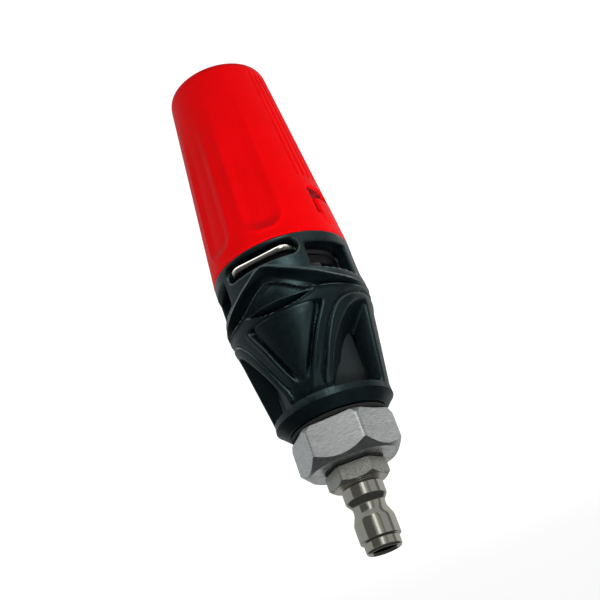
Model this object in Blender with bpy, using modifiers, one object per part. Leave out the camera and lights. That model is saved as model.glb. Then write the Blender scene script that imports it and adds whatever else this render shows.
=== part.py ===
"""Rotary ("turbo") nozzle for a high-pressure washer, as an assembly of separate parts.

Metres, +Z up. The nozzle stands on the flat front rim of its front cover, so the
outlet looks down, the quick plug points up, and the origin is the middle of that rim.
Everything turned shares the +Z axis. Two groups turn on it: the guard (front cover,
rear sleeve and clip) on the pressure housing, and the rotor in its seat.
"""

import math

import bmesh
import bpy
from mathutils import Matrix

# ---------------------------------------------------------------- shared values
CLEARANCE = 0.0003            # gap kept between neighbouring parts
MERGE = 0.00001               # weld distance of turned shapes
OUTER_STEPS = 48              # facets round the large outer parts
HEX_STEPS = 36                # facets round parts that also carry a hexagon
INNER_STEPS = 24              # facets round the inner parts
RING_SECTION_STEPS = 6        # facets round the section of an O-ring
ARC_STEPS = 4                 # facets along a rounded edge
HEX_SIDES = 6
SHARP_ANGLE = math.radians(35)        # edges sharper than this aren't shaded smooth

# ---------------------------------------------------------------- pressure housing
CHAMBER_RADIUS = 0.0110       # bore that the rotor rolls round
HOUSING_WALL = 0.0023
HOUSING_START = 0.0157        # height of the housing's front end
TAIL_RADIUS = 0.0122          # slim rear part, seen through the sleeve
TAIL_BORE_RADIUS = 0.0092     # threaded bore that takes the inlet nut
TAIL_SHOULDER = 0.0233        # chamber step, measured from the cover's rear edge
COLLAR_WIDTH = 0.0075         # collar that carries the clip groove
COLLAR_HEIGHT = 0.0033        # how far the collar stands out
COLLAR_OFFSET = 0.0011        # collar start, measured from the cover's rear edge
CLIP_GROOVE_DEPTH = 0.0020

# ---------------------------------------------------------------- front cover
COVER_LENGTH = 0.0684
COVER_WALL = 0.0022
COVER_AIR = 0.0004            # air between cover and housing at the front rim
COVER_FLARE = 0.0055          # how much wider the rear edge is than the front rim
COVER_RIM_ROUND = 0.0025
MOUTH_RADIUS = 0.0110
MOUTH_CHAMFER = 0.0007
FRONT_WALL = 0.0034
SOCKET_DEPTH = 0.0062         # socket that takes the sleeve's spigot
SOCKET_WALL = 0.0021
COVER_TURN = math.radians(8.7)        # cover pattern against the sleeve pattern
FLUTE_PITCH = math.radians(46.5)
FLUTE_DEPTH = 0.0009
FLUTE_CUTTER_RADIUS = 0.0180
FLUTE_START = 0.0120
FLUTE_END = 0.0640
RIB_GROOVES = 6
RIB_PITCH = 0.0021
RIB_GROOVE_WIDTH = 0.0009
RIB_GROOVE_DEPTH = 0.0005
RIB_START = 0.0040
RIB_END = 0.0470
LATCH_WIDTH = 0.0120
LATCH_START = 0.0510
LATCH_HEIGHT = 0.0045
LATCH_DEPTH = 0.0010
LATCH_SLIT_WIDTH = 0.0011     # slit on each side of the snap tongue
LATCH_SLIT_LENGTH = 0.0060

# ---------------------------------------------------------------- rear sleeve
SLEEVE_LENGTH = 0.0519
SLEEVE_WALL = 0.0034
BELT_RISE = 0.0006            # how far the belt stands out from the front edge
BELT_AT = 0.0160              # belt height above the sleeve's front edge
BELT_HALF = 0.0062
FOOT_WALL = 0.00475           # wall of the foot round the housing tail
FOOT_HEIGHT = 0.0049
FOOT_CHAMFER_DROP = 0.0026
FOOT_CHAMFER_IN = 0.0024
WASHER_HEIGHT = 0.0008
WASHER_WIDTH = 0.0018
INNER_CONE_HEIGHT = 0.0060       # cone from the wide front bore down to the housing
SPIGOT_LENGTH = 0.0058
SPIGOT_WALL = 0.0018
SLOT_LENGTH = 0.0248
SLOT_HEIGHT = 0.0050
SLOT_AT = 0.0037              # slot middle above the sleeve's front edge
WINDOW_FIRST = math.radians(38.5)     # window edge nearest the front middle
WINDOW_LAST = math.radians(81.0)      # window edge at the side post
UPPER_WINDOW_START = 0.0038
UPPER_WINDOW_END = 0.0133
ARCH_FIRST = math.radians(22.5)
ARCH_START = 0.0228           # top of the arched window, above the front edge
ARCH_END = 0.0466
ARCH_POWER = 2.2              # how quickly the arch rises from its foot
ARCH_STEPS = 8

# ---------------------------------------------------------------- retaining clip
WIRE_RADIUS = 0.00095
CLIP_BRIDGE_HALF = 0.0085
CLIP_BRIDGE_INSET = 0.0014    # wire middle, in from the sleeve's outer face
CLIP_LEG_FIRST = math.radians(42)
CLIP_LEG_LAST = math.radians(150)
CLIP_LEG_STEPS = 14
CLIP_BEND_RADIUS = 0.0022

# ---------------------------------------------------------------- inlet nut
NUT_ACROSS_FLATS = 0.0270
NUT_HEIGHT = 0.0116
NUT_TURN = math.radians(-6.5)
NUT_FRONT_FACE_INSET = 0.0009
NUT_FRONT_CHAMFER = 0.0020
NUT_REAR_FACE_INSET = 0.00265
NUT_REAR_CHAMFER = 0.0030
NUT_SPIGOT_LENGTH = 0.0165
NUT_BORE_RADIUS = 0.0042
PLUG_THREAD_DEPTH = 0.0113
SEAL_POCKET_DEPTH = 0.0010
INLET_RING_SECTION = 0.0006
INLET_RING_OFFSET = 0.0120    # O-ring middle, in from the nut's front face

# ---------------------------------------------------------------- quick plug
PLUG_HEX_FLATS = 0.0157
PLUG_HEX_HEIGHT = 0.0050
PLUG_HEX_CHAMFER = 0.0012
PLUG_TURN = math.radians(-14.5)
PLUG_SEAT_GAP = 0.0006        # plug hex above the nut's rear face
PLUG_THREAD_RADIUS = 0.0063
PLUG_THREAD_LENGTH = 0.0110
PLUG_BORE_RADIUS = 0.0038
SHANK_RADIUS = 0.0060
SHANK_LENGTH = 0.0044
GROOVE_RADIUS = 0.0047
GROOVE_STEEP = 0.0017
GROOVE_FLOOR = 0.0017
GROOVE_SLOPE = 0.0028
BARREL_RADIUS = 0.0059
BARREL_LENGTH = 0.0054
NOSE_STEP = 0.0007
NOSE_RADIUS = 0.00515
NOSE_LENGTH = 0.0019
NOSE_ROUND = 0.0007
SEAL_RING_WIDTH = 0.0017

# ---------------------------------------------------------------- outlet cap and seat
CAP_FLANGE_HEIGHT = 0.0024
CAP_LENGTH = 0.0166
CAP_THROAT_RADIUS = 0.0024
CAP_MOUTH_RADIUS = 0.0070
CAP_POCKET_DEPTH = 0.0100
CAP_RING_OFFSET = 0.0050      # O-ring middle, in from the cap's rear end
CAP_RING_SECTION = 0.0006
SEAT_RADIUS = 0.0053
SEAT_LENGTH = 0.0077
SEAT_THROAT_RADIUS = 0.0013
SEAT_EXIT_RADIUS = 0.0021
SEAT_RING_SECTION = 0.0006
COVER_RING_SECTION = 0.0010
COVER_RING_OFFSET = 0.0034    # O-ring middle, in from the housing's front end

# ---------------------------------------------------------------- swirl insert
SWIRL_THICKNESS = 0.0054
SWIRL_SLOTS = 3
SWIRL_SLOT_WIDTH = 0.0018
SWIRL_SLOT_LEAN = math.radians(35)

# ---------------------------------------------------------------- rotor
BALL_RADIUS = 0.0026
BALL_INTO_SEAT = 0.0008       # ball middle below the seat's rear face
TIP_STEM_RADIUS = 0.0020
TIP_LENGTH = 0.0090
TIP_BORE_RADIUS = 0.0008
TIP_NOSE = 0.0022
ROTOR_RADIUS = 0.0042
ROTOR_START = 0.0045
ROTOR_END_GAP = 0.0020        # rotor end to the swirl insert
ROTOR_BORE_RADIUS = 0.0027
ROTOR_NECK_RADIUS = 0.0014
ROTOR_NECK_LENGTH = 0.0025
WEIGHT_RADIUS = 0.0062
WEIGHT_START = 0.0190
WEIGHT_LENGTH = 0.0120
DRIVE_RING_SECTION = 0.0009
DRIVE_RING_SEAT = 0.0006      # how deep the drive ring sits in the rotor
DRIVE_RING_END = 0.0045       # ring middle, in from the rotor's rear end
VANE_THICKNESS = 0.0006
VANE_LENGTH = 0.0080
VANE_END = 0.0010

# ---------------------------------------------------------------- places that follow
HOUSING_RADIUS = CHAMBER_RADIUS + HOUSING_WALL
COVER_FRONT_RADIUS = HOUSING_RADIUS + COVER_AIR + COVER_WALL
COVER_REAR_RADIUS = COVER_FRONT_RADIUS + COVER_FLARE
COLLAR_RADIUS = HOUSING_RADIUS + COLLAR_HEIGHT
SLEEVE_START = COVER_LENGTH + CLEARANCE
SLEEVE_END = SLEEVE_START + SLEEVE_LENGTH
SLOT_Z = SLEEVE_START + SLOT_AT
CHAMBER_END = COVER_LENGTH + TAIL_SHOULDER
WASHER_START = SLEEVE_END + CLEARANCE
TAIL_END = WASHER_START + WASHER_HEIGHT
NUT_START = TAIL_END + CLEARANCE
NUT_END = NUT_START + NUT_HEIGHT
NUT_CORNER_RADIUS = NUT_ACROSS_FLATS / math.sqrt(3)
NUT_SPIGOT_RADIUS = TAIL_BORE_RADIUS - CLEARANCE
PLUG_START = NUT_END + PLUG_SEAT_GAP
PLUG_CORNER_RADIUS = PLUG_HEX_FLATS / math.sqrt(3)
CAP_START = HOUSING_START - CLEARANCE - CAP_FLANGE_HEIGHT
CAP_END = HOUSING_START - CLEARANCE + CAP_LENGTH
CAP_BODY_RADIUS = CHAMBER_RADIUS - CLEARANCE
POCKET_FLOOR = CAP_END - CAP_POCKET_DEPTH
POCKET_RADIUS = SEAT_RADIUS + CLEARANCE
SEAT_START = POCKET_FLOOR + 2 * SEAT_RING_SECTION + 2 * CLEARANCE
SEAT_END = SEAT_START + SEAT_LENGTH
PIVOT_Z = SEAT_END - BALL_INTO_SEAT
SWIRL_START = CHAMBER_END - CLEARANCE - SWIRL_THICKNESS
ROTOR_LENGTH = SWIRL_START - ROTOR_END_GAP - PIVOT_Z
DRIVE_RING_AT = ROTOR_LENGTH - DRIVE_RING_END
DRIVE_RING_CENTRE = ROTOR_RADIUS - DRIVE_RING_SEAT + CLEARANCE + DRIVE_RING_SECTION
DRIVE_RING_OUTER = DRIVE_RING_CENTRE + DRIVE_RING_SECTION


def rotor_tilt():
    """Angle at which the drive ring just clears the chamber wall."""
    reach = math.hypot(DRIVE_RING_AT, DRIVE_RING_OUTER)
    limit = CHAMBER_RADIUS - CLEARANCE
    return math.asin(limit / reach) - math.atan2(DRIVE_RING_OUTER, DRIVE_RING_AT)


def cover_radius(z):
    """Outer radius of the front cover's straight cone at a height."""
    return COVER_FRONT_RADIUS + COVER_FLARE * z / COVER_LENGTH


# ---------------------------------------------------------------- scene helpers
def clear_scene():
    for obj in list(bpy.data.objects):
        bpy.data.objects.remove(obj, do_unlink=True)


def new_collection(name):
    collection = bpy.data.collections.new(name)
    bpy.context.scene.collection.children.link(collection)
    return collection


def material(name, colour, roughness, metallic=0.0):
    result = bpy.data.materials.new(name)
    result.use_nodes = True
    shader = result.node_tree.nodes["Principled BSDF"]
    shader.inputs["Base Color"].default_value = (*colour, 1.0)
    shader.inputs["Roughness"].default_value = roughness
    shader.inputs["Metallic"].default_value = metallic
    return result


def finish(obj, collection, finish_material=None, smooth=True):
    """Put an object in its collection and give it its material and shading."""
    for owner in list(obj.users_collection):
        owner.objects.unlink(obj)
    collection.objects.link(obj)
    if finish_material:
        obj.data.materials.append(finish_material)
    if smooth and obj.type == "MESH":
        obj.data.shade_smooth()
        obj.data.set_sharp_from_angle(angle=SHARP_ANGLE)
    return obj


def as_cutter(obj):
    """Hide a helper from renders and show it as wire."""
    finish(obj, CUTTERS, smooth=False)
    obj.hide_render = True
    obj.display_type = "WIRE"
    return obj


def parent_to(obj, empty):
    """Parent an object without moving it."""
    obj.parent = empty
    obj.matrix_parent_inverse = empty.matrix_world.inverted()


def axis_empty(name, location, rotation=(0.0, 0.0, 0.0)):
    empty = bpy.data.objects.new(name, None)
    empty.location = location
    empty.rotation_euler = rotation
    PARTS.objects.link(empty)
    bpy.context.view_layer.update()
    return empty


def signed_area(points):
    following = points[1:] + points[:1]
    return sum(a[0] * b[1] - b[0] * a[1] for a, b in zip(points, following)) / 2


def ring_of_revolution(name, profile, steps):
    """Turn a closed (radius, height) outline round +Z with a Screw modifier."""
    points = list(profile)
    if signed_area(points) > 0:
        points.reverse()
    mesh = bpy.data.meshes.new(name)
    count = len(points)
    edges = [(index, (index + 1) % count) for index in range(count)]
    mesh.from_pydata([(radius, 0.0, height) for radius, height in points], edges, [])
    obj = bpy.data.objects.new(name, mesh)
    bpy.context.scene.collection.objects.link(obj)
    screw = obj.modifiers.new("turn", "SCREW")
    screw.axis = "Z"
    screw.angle = math.tau
    screw.steps = steps
    screw.render_steps = steps
    screw.use_merge_vertices = True
    screw.merge_threshold = MERGE
    return obj


def settle(obj):
    """Replace an object by a plain mesh of what its modifiers or its curve make."""
    bpy.context.view_layer.update()
    graph = bpy.context.evaluated_depsgraph_get()
    mesh = bpy.data.meshes.new_from_object(obj.evaluated_get(graph))
    work = bmesh.new()
    work.from_mesh(mesh)
    bmesh.ops.remove_doubles(work, verts=work.verts, dist=MERGE)
    work.to_mesh(mesh)
    work.free()
    plain = bpy.data.objects.new(obj.name, mesh)
    plain.matrix_world = obj.matrix_world
    bpy.context.scene.collection.objects.link(plain)
    name = obj.name
    bpy.data.objects.remove(obj, do_unlink=True)
    plain.name = name
    return plain


def turned(name, profile, look, at_z=0.0, steps=INNER_STEPS):
    """A turned part whose outline is measured from its own seat height."""
    obj = settle(ring_of_revolution(name, profile, steps))
    finish(obj, PARTS, look)
    obj.location.z = at_z
    return obj


def rounded(centre, radius, first, last, steps=ARC_STEPS):
    """Points of an arc in a (radius, height) outline."""
    angles = [first + (last - first) * index / steps for index in range(steps + 1)]
    return [
        (centre[0] + radius * math.cos(angle), centre[1] + radius * math.sin(angle))
        for angle in angles
    ]


def facing(azimuth, radius, height):
    """Frame whose local Z looks outwards, local X runs sideways and local Y runs up."""
    turn = Matrix.Rotation(azimuth, 4, "Z")
    tip = Matrix.Rotation(math.radians(90), 4, "X")
    return turn @ Matrix.Translation((0.0, -radius, height)) @ tip


def prism(name, outline, half_depth, frame):
    """A cutter: a flat outline made thick along its own Z."""
    curve = bpy.data.curves.new(name, "CURVE")
    curve.dimensions = "2D"
    curve.fill_mode = "BOTH"
    curve.extrude = half_depth
    spline = curve.splines.new("POLY")
    spline.points.add(len(outline) - 1)
    for point, (across, up) in zip(spline.points, outline):
        point.co = (across, up, 0.0, 1.0)
    spline.use_cyclic_u = True
    obj = bpy.data.objects.new(name, curve)
    bpy.context.scene.collection.objects.link(obj)
    obj = settle(obj)
    obj.matrix_world = frame
    work = bmesh.new()
    work.from_mesh(obj.data)
    bmesh.ops.recalc_face_normals(work, faces=work.faces)
    work.to_mesh(obj.data)
    work.free()
    return as_cutter(obj)


def box(name, size, frame):
    """A cutter box of a given size, centred in a frame."""
    bpy.ops.mesh.primitive_cube_add(size=1.0)
    obj = bpy.context.object
    obj.name = name
    obj.data.transform(Matrix.Diagonal((*size, 1.0)))
    obj.matrix_world = frame
    return as_cutter(obj)


def hexagon_waste(name, corner_radius, start, end, turn):
    """A cutter: everything outside a hexagon between two heights."""
    outer = 2 * corner_radius
    outline = [(outer, end), (outer, start), (corner_radius, start), (corner_radius, end)]
    obj = settle(ring_of_revolution(name, outline, HEX_SIDES))
    obj.rotation_euler.z = turn
    return as_cutter(obj)


def combine(obj, other, operation="DIFFERENCE"):
    """Boolean one object with another; a cutter stays hidden in its collection."""
    step = obj.modifiers.new(other.name, "BOOLEAN")
    step.operation = operation
    step.solver = "EXACT"
    step.object = other


def o_ring(name, centre_radius, section, at_z, steps=INNER_STEPS):
    bpy.ops.mesh.primitive_torus_add(
        major_radius=centre_radius,
        minor_radius=section,
        major_segments=steps,
        minor_segments=RING_SECTION_STEPS,
        location=(0.0, 0.0, at_z),
    )
    obj = bpy.context.object
    obj.name = name
    return finish(obj, PARTS, RUBBER)


# ---------------------------------------------------------------- guard
def make_front_cover():
    """Tapered shell with a front wall round the mouth and a socket for the sleeve."""
    rim = COVER_FRONT_RADIUS - COVER_RIM_ROUND
    socket_radius = COVER_REAR_RADIUS - SOCKET_WALL
    socket_start = COVER_LENGTH - SOCKET_DEPTH
    outline = [(COVER_REAR_RADIUS, COVER_LENGTH)]
    outline += rounded((rim, COVER_RIM_ROUND), COVER_RIM_ROUND, 0.0, -math.pi / 2)
    outline += [
        (MOUTH_RADIUS + MOUTH_CHAMFER, 0.0),
        (MOUTH_RADIUS, MOUTH_CHAMFER),
        (MOUTH_RADIUS, FRONT_WALL),
        (cover_radius(FRONT_WALL) - COVER_WALL, FRONT_WALL),
        (cover_radius(socket_start) - COVER_WALL, socket_start),
        (socket_radius, socket_start),
        (socket_radius, COVER_LENGTH),
    ]
    cover = turned("front_cover", outline, RED_PLASTIC, steps=OUTER_STEPS)
    for side in (0.0, math.pi):
        for hand in (-0.5, 0.5):
            cut_flute(cover, COVER_TURN + side + hand * FLUTE_PITCH)
        cut_grip_panel(cover, COVER_TURN + side + math.pi / 2)
        cut_latch(cover, COVER_TURN + side + math.pi / 2)
    return cover


def cut_flute(cover, azimuth):
    """Shallow finger flute: a large cylinder that leans in, so its depth grows from the start."""
    middle = (FLUTE_START + FLUTE_END) / 2
    length = FLUTE_END - FLUTE_START
    lean = math.atan2(COVER_FLARE, COVER_LENGTH) - math.atan2(0.9 * FLUTE_DEPTH, length)
    axis_radius = cover_radius(middle) - 0.55 * FLUTE_DEPTH + FLUTE_CUTTER_RADIUS
    bpy.ops.mesh.primitive_cylinder_add(
        vertices=OUTER_STEPS, radius=FLUTE_CUTTER_RADIUS, depth=length
    )
    cutter = bpy.context.object
    cutter.name = "flute_cutter"
    cutter.matrix_world = (
        Matrix.Rotation(azimuth, 4, "Z")
        @ Matrix.Translation((0.0, -axis_radius, middle))
        @ Matrix.Rotation(lean, 4, "X")
    )
    combine(cover, as_cutter(cutter))


def cut_grip_panel(cover, azimuth):
    """Fine grip grooves that run along the cone, side by side."""
    lean = math.atan2(COVER_FLARE, COVER_LENGTH)
    middle = (RIB_START + RIB_END) / 2
    size = (RIB_GROOVE_WIDTH, RIB_END - RIB_START, 2 * RIB_GROOVE_DEPTH)
    for index in range(RIB_GROOVES):
        turn = (index - (RIB_GROOVES - 1) / 2) * RIB_PITCH / cover_radius(middle)
        frame = facing(azimuth + turn, cover_radius(middle), middle)
        frame = frame @ Matrix.Rotation(lean, 4, "X")
        combine(cover, box("grip_groove_cutter", size, frame))


def cut_latch(cover, azimuth):
    """Pocket of even depth in front of the snap tongue, and a slit on each side of it."""
    end = LATCH_START + LATCH_HEIGHT
    outer = COVER_REAR_RADIUS + COVER_WALL
    outline = [
        (outer, end),
        (outer, LATCH_START),
        (cover_radius(LATCH_START) - LATCH_DEPTH, LATCH_START),
        (cover_radius(end) - LATCH_DEPTH, end),
    ]
    pocket = settle(ring_of_revolution("latch_pocket_cutter", outline, OUTER_STEPS))
    frame = facing(azimuth, outer, (LATCH_START + end) / 2)
    size = (LATCH_WIDTH, 2 * LATCH_HEIGHT, outer)
    combine(pocket, box("latch_width_cutter", size, frame), "INTERSECT")
    combine(cover, as_cutter(pocket))
    half_turn = math.asin((LATCH_WIDTH - LATCH_SLIT_WIDTH) / 2 / cover_radius(end))
    lean = math.atan2(COVER_FLARE, COVER_LENGTH)
    size = (LATCH_SLIT_WIDTH, LATCH_SLIT_LENGTH, 2 * LATCH_DEPTH)
    middle = end + LATCH_SLIT_LENGTH / 2 - CLEARANCE
    for hand in (-1, 1):
        frame = facing(azimuth + hand * half_turn, cover_radius(middle), middle)
        frame = frame @ Matrix.Rotation(lean, 4, "X")
        combine(cover, box("latch_slit_cutter", size, frame))


def sleeve_outline():
    """Outline of the sleeve, measured from its front edge."""
    foot_radius = TAIL_RADIUS + CLEARANCE + FOOT_WALL
    foot_rim = SLEEVE_LENGTH - FOOT_CHAMFER_DROP
    foot_top = SLEEVE_LENGTH - FOOT_HEIGHT
    belt = COVER_REAR_RADIUS + BELT_RISE
    waist = BELT_AT + BELT_HALF
    spigot_radius = COVER_REAR_RADIUS - SOCKET_WALL - CLEARANCE
    inner_front = COVER_REAR_RADIUS - SLEEVE_WALL
    inner_tube = max(HOUSING_RADIUS + 2 * CLEARANCE, TAIL_RADIUS + CLEARANCE)
    return [
        (foot_radius - FOOT_CHAMFER_IN, SLEEVE_LENGTH),
        (foot_radius, foot_rim),
        (COVER_REAR_RADIUS + BELT_RISE / 3, waist),
        (belt, BELT_AT),
        (COVER_REAR_RADIUS, BELT_AT - BELT_HALF),
        (COVER_REAR_RADIUS, 0.0),
        (spigot_radius, 0.0),
        (spigot_radius, -SPIGOT_LENGTH),
        (spigot_radius - SPIGOT_WALL, -SPIGOT_LENGTH),
        (spigot_radius - SPIGOT_WALL, 0.0),
        (inner_front, CLEARANCE),
        (inner_front, waist),
        (inner_tube, waist + INNER_CONE_HEIGHT),
        (inner_tube, foot_top),
        (TAIL_RADIUS + CLEARANCE, foot_top),
        (TAIL_RADIUS + CLEARANCE, SLEEVE_LENGTH),
    ]


def make_rear_sleeve():
    """Open lattice sleeve: a turned shell with slots and windows cut through it."""
    sleeve = turned(
        "rear_sleeve", sleeve_outline(), BLACK_PLASTIC, SLEEVE_START, OUTER_STEPS
    )
    depth = COVER_REAR_RADIUS - HOUSING_RADIUS
    reach = (COVER_REAR_RADIUS + HOUSING_RADIUS) / 2
    for side in (0.0, math.pi):
        frame = facing(side, reach, SLOT_Z)
        combine(sleeve, prism("slot_cutter", stadium(), depth, frame))
        for hand in (-1, 1):
            cut_upper_window(sleeve, side, hand)
            cut_arched_window(sleeve, side, hand)
    return sleeve


def sleeve_radius(height):
    """Outer radius of the sleeve at a height above its front edge."""
    waist = (BELT_AT + BELT_HALF, COVER_REAR_RADIUS + BELT_RISE / 3)
    foot = (SLEEVE_LENGTH - FOOT_CHAMFER_DROP, TAIL_RADIUS + CLEARANCE + FOOT_WALL)
    if height <= waist[0]:
        return COVER_REAR_RADIUS
    share = (height - waist[0]) / (foot[0] - waist[0])
    return waist[1] + share * (foot[1] - waist[1])


def stadium():
    """Round-ended slot outline."""
    half = SLOT_HEIGHT / 2
    straight = SLOT_LENGTH / 2 - half
    right = rounded((straight, 0.0), half, -math.pi / 2, math.pi / 2, 2 * ARC_STEPS)
    left = rounded((-straight, 0.0), half, math.pi / 2, 3 * math.pi / 2, 2 * ARC_STEPS)
    return right + left


def window_frame(side, hand, first):
    """Frame in the middle of a window, and half the angle that the window spans."""
    middle = (first + WINDOW_LAST) / 2
    reach = (COVER_REAR_RADIUS + HOUSING_RADIUS) / 2
    return facing(side + hand * middle, reach, SLEEVE_START), (WINDOW_LAST - first) / 2


def cut_upper_window(sleeve, side, hand):
    frame, half_turn = window_frame(side, hand, WINDOW_FIRST)
    half = COVER_REAR_RADIUS * math.sin(half_turn)
    outline = [
        (-half, UPPER_WINDOW_START),
        (half, UPPER_WINDOW_START),
        (half, UPPER_WINDOW_END),
        (-half, UPPER_WINDOW_END),
    ]
    depth = COVER_REAR_RADIUS - HOUSING_RADIUS
    combine(sleeve, prism("upper_window_cutter", outline, depth, frame))


def cut_arched_window(sleeve, side, hand):
    """Window whose inner edge rises as 1 - (1 - x) ** ARCH_POWER from its foot."""
    frame, half_turn = window_frame(side, hand, ARCH_FIRST)
    outline = []
    for index in range(ARCH_STEPS + 1):
        along = index / ARCH_STEPS
        rise = 1 - (1 - along) ** ARCH_POWER
        height = ARCH_END - rise * (ARCH_END - ARCH_START)
        across = sleeve_radius(height) * math.sin(half_turn * (2 * along - 1))
        outline.append((hand * across, height))
    post_foot = sleeve_radius(ARCH_END) * math.sin(half_turn)
    outline.append((hand * post_foot, ARCH_END))
    depth = COVER_REAR_RADIUS - HOUSING_RADIUS
    combine(sleeve, prism("arched_window_cutter", outline, depth, frame))


def clip_route():
    """Right half of the clip's middle line, seen from above: bridge, bend and leg."""
    leg_radius = COLLAR_RADIUS - CLIP_GROOVE_DEPTH + CLEARANCE + WIRE_RADIUS
    bridge_y = -(COVER_REAR_RADIUS - CLIP_BRIDGE_INSET)
    bend_centre = (CLIP_BRIDGE_HALF - CLIP_BEND_RADIUS, bridge_y + CLIP_BEND_RADIUS)
    points = rounded(bend_centre, CLIP_BEND_RADIUS, -math.pi / 2, 0.0)
    for index in range(CLIP_LEG_STEPS + 1):
        share = index / CLIP_LEG_STEPS
        angle = CLIP_LEG_FIRST + share * (CLIP_LEG_LAST - CLIP_LEG_FIRST)
        points.append((leg_radius * math.sin(angle), -leg_radius * math.cos(angle)))
    return points


def make_retaining_clip():
    """Spring wire bridge across the slot, with two legs in the housing groove."""
    half = clip_route()
    route = [(-x, y) for x, y in reversed(half)] + half
    curve = bpy.data.curves.new("retaining_clip", "CURVE")
    curve.dimensions = "3D"
    curve.bevel_depth = WIRE_RADIUS
    curve.bevel_resolution = 2
    curve.use_fill_caps = True
    spline = curve.splines.new("POLY")
    spline.points.add(len(route) - 1)
    for point, (x, y) in zip(spline.points, route):
        point.co = (x, y, 0.0, 1.0)
    clip = bpy.data.objects.new("retaining_clip", curve)
    clip.location.z = SLOT_Z
    bpy.context.scene.collection.objects.link(clip)
    return finish(clip, PARTS, STEEL_WIRE)


# ---------------------------------------------------------------- pressure body
def make_pressure_housing():
    """Two-step tube with the clip collar, a chamber and a threaded tail."""
    shoulder = SLEEVE_END - FOOT_HEIGHT - CLEARANCE
    groove_half = WIRE_RADIUS + 2 * CLEARANCE
    collar_start = COVER_LENGTH + COLLAR_OFFSET
    collar_end = collar_start + COLLAR_WIDTH
    groove_radius = COLLAR_RADIUS - CLIP_GROOVE_DEPTH
    ring_z = HOUSING_START + COVER_RING_OFFSET
    ring_half = COVER_RING_SECTION + CLEARANCE
    ring_floor = cover_ring_centre() - COVER_RING_SECTION - CLEARANCE
    outline = [
        (TAIL_RADIUS, TAIL_END),
        (TAIL_RADIUS, shoulder),
        (HOUSING_RADIUS, shoulder),
        (HOUSING_RADIUS, collar_end),
        (COLLAR_RADIUS, collar_end),
        (COLLAR_RADIUS, SLOT_Z + groove_half),
        (groove_radius, SLOT_Z + groove_half),
        (groove_radius, SLOT_Z - groove_half),
        (COLLAR_RADIUS, SLOT_Z - groove_half),
        (COLLAR_RADIUS, collar_start),
        (HOUSING_RADIUS, collar_start),
        (HOUSING_RADIUS, ring_z + ring_half),
        (ring_floor, ring_z + ring_half),
        (ring_floor, ring_z - ring_half),
        (HOUSING_RADIUS, ring_z - ring_half),
        (HOUSING_RADIUS, HOUSING_START),
        (CHAMBER_RADIUS, HOUSING_START),
        (CHAMBER_RADIUS, CHAMBER_END),
        (TAIL_BORE_RADIUS, CHAMBER_END),
        (TAIL_BORE_RADIUS, TAIL_END),
    ]
    outline = [(radius, z - HOUSING_START) for radius, z in outline]
    return turned(
        "pressure_housing", outline, DARK_METAL, HOUSING_START, HEX_STEPS
    )


def cover_ring_centre():
    """Radius of the ring that centres the cover on the housing."""
    ring_z = HOUSING_START + COVER_RING_OFFSET
    inside = cover_radius(ring_z) - COVER_WALL
    return inside - 2 * CLEARANCE - COVER_RING_SECTION


def make_inlet_nut():
    """Hexagon with conical chamfers, a threaded spigot and a seal pocket."""
    front_face = NUT_CORNER_RADIUS - NUT_FRONT_FACE_INSET
    rear_face = NUT_CORNER_RADIUS - NUT_REAR_FACE_INSET
    thread_bore = PLUG_THREAD_RADIUS + CLEARANCE
    pocket_radius = thread_bore + SEAL_RING_WIDTH + CLEARANCE
    groove_half = INLET_RING_SECTION + CLEARANCE
    groove_floor = NUT_SPIGOT_RADIUS - 2 * INLET_RING_SECTION - CLEARANCE
    outline = [
        (rear_face, NUT_HEIGHT),
        (NUT_CORNER_RADIUS, NUT_HEIGHT - NUT_REAR_CHAMFER),
        (NUT_CORNER_RADIUS, NUT_FRONT_CHAMFER),
        (front_face, 0.0),
        (NUT_SPIGOT_RADIUS, 0.0),
        (NUT_SPIGOT_RADIUS, groove_half - INLET_RING_OFFSET),
        (groove_floor, groove_half - INLET_RING_OFFSET),
        (groove_floor, -groove_half - INLET_RING_OFFSET),
        (NUT_SPIGOT_RADIUS, -groove_half - INLET_RING_OFFSET),
        (NUT_SPIGOT_RADIUS, -NUT_SPIGOT_LENGTH),
        (NUT_BORE_RADIUS, -NUT_SPIGOT_LENGTH),
        (NUT_BORE_RADIUS, NUT_HEIGHT - PLUG_THREAD_DEPTH),
        (thread_bore, NUT_HEIGHT - PLUG_THREAD_DEPTH),
        (thread_bore, NUT_HEIGHT - SEAL_POCKET_DEPTH),
        (pocket_radius, NUT_HEIGHT - SEAL_POCKET_DEPTH),
        (pocket_radius, NUT_HEIGHT),
    ]
    nut = turned("inlet_nut", outline, ALUMINIUM, NUT_START, HEX_STEPS)
    waste = hexagon_waste("nut_waste", NUT_CORNER_RADIUS, NUT_START, NUT_END, NUT_TURN)
    combine(nut, waste)
    return nut


def make_glide_washer():
    """Thin washer that the sleeve's foot turns against."""
    inner = TAIL_RADIUS + CLEARANCE
    outline = [
        (inner + WASHER_WIDTH, WASHER_HEIGHT),
        (inner + WASHER_WIDTH, 0.0),
        (inner, 0.0),
        (inner, WASHER_HEIGHT),
    ]
    turned("glide_washer", outline, RUBBER, WASHER_START, HEX_STEPS)


def make_inlet_o_ring():
    centre = NUT_SPIGOT_RADIUS - INLET_RING_SECTION
    o_ring("inlet_o_ring", centre, INLET_RING_SECTION, NUT_START - INLET_RING_OFFSET)


def make_plug_seal_ring():
    inner = PLUG_THREAD_RADIUS + CLEARANCE
    height = SEAL_POCKET_DEPTH + PLUG_SEAT_GAP - 2 * CLEARANCE
    outline = [
        (inner + SEAL_RING_WIDTH, height),
        (inner + SEAL_RING_WIDTH, 0.0),
        (inner, 0.0),
        (inner, height),
    ]
    seat = NUT_END - SEAL_POCKET_DEPTH + CLEARANCE
    turned("plug_seal_ring", outline, RUBBER, seat, HEX_STEPS)


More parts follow.
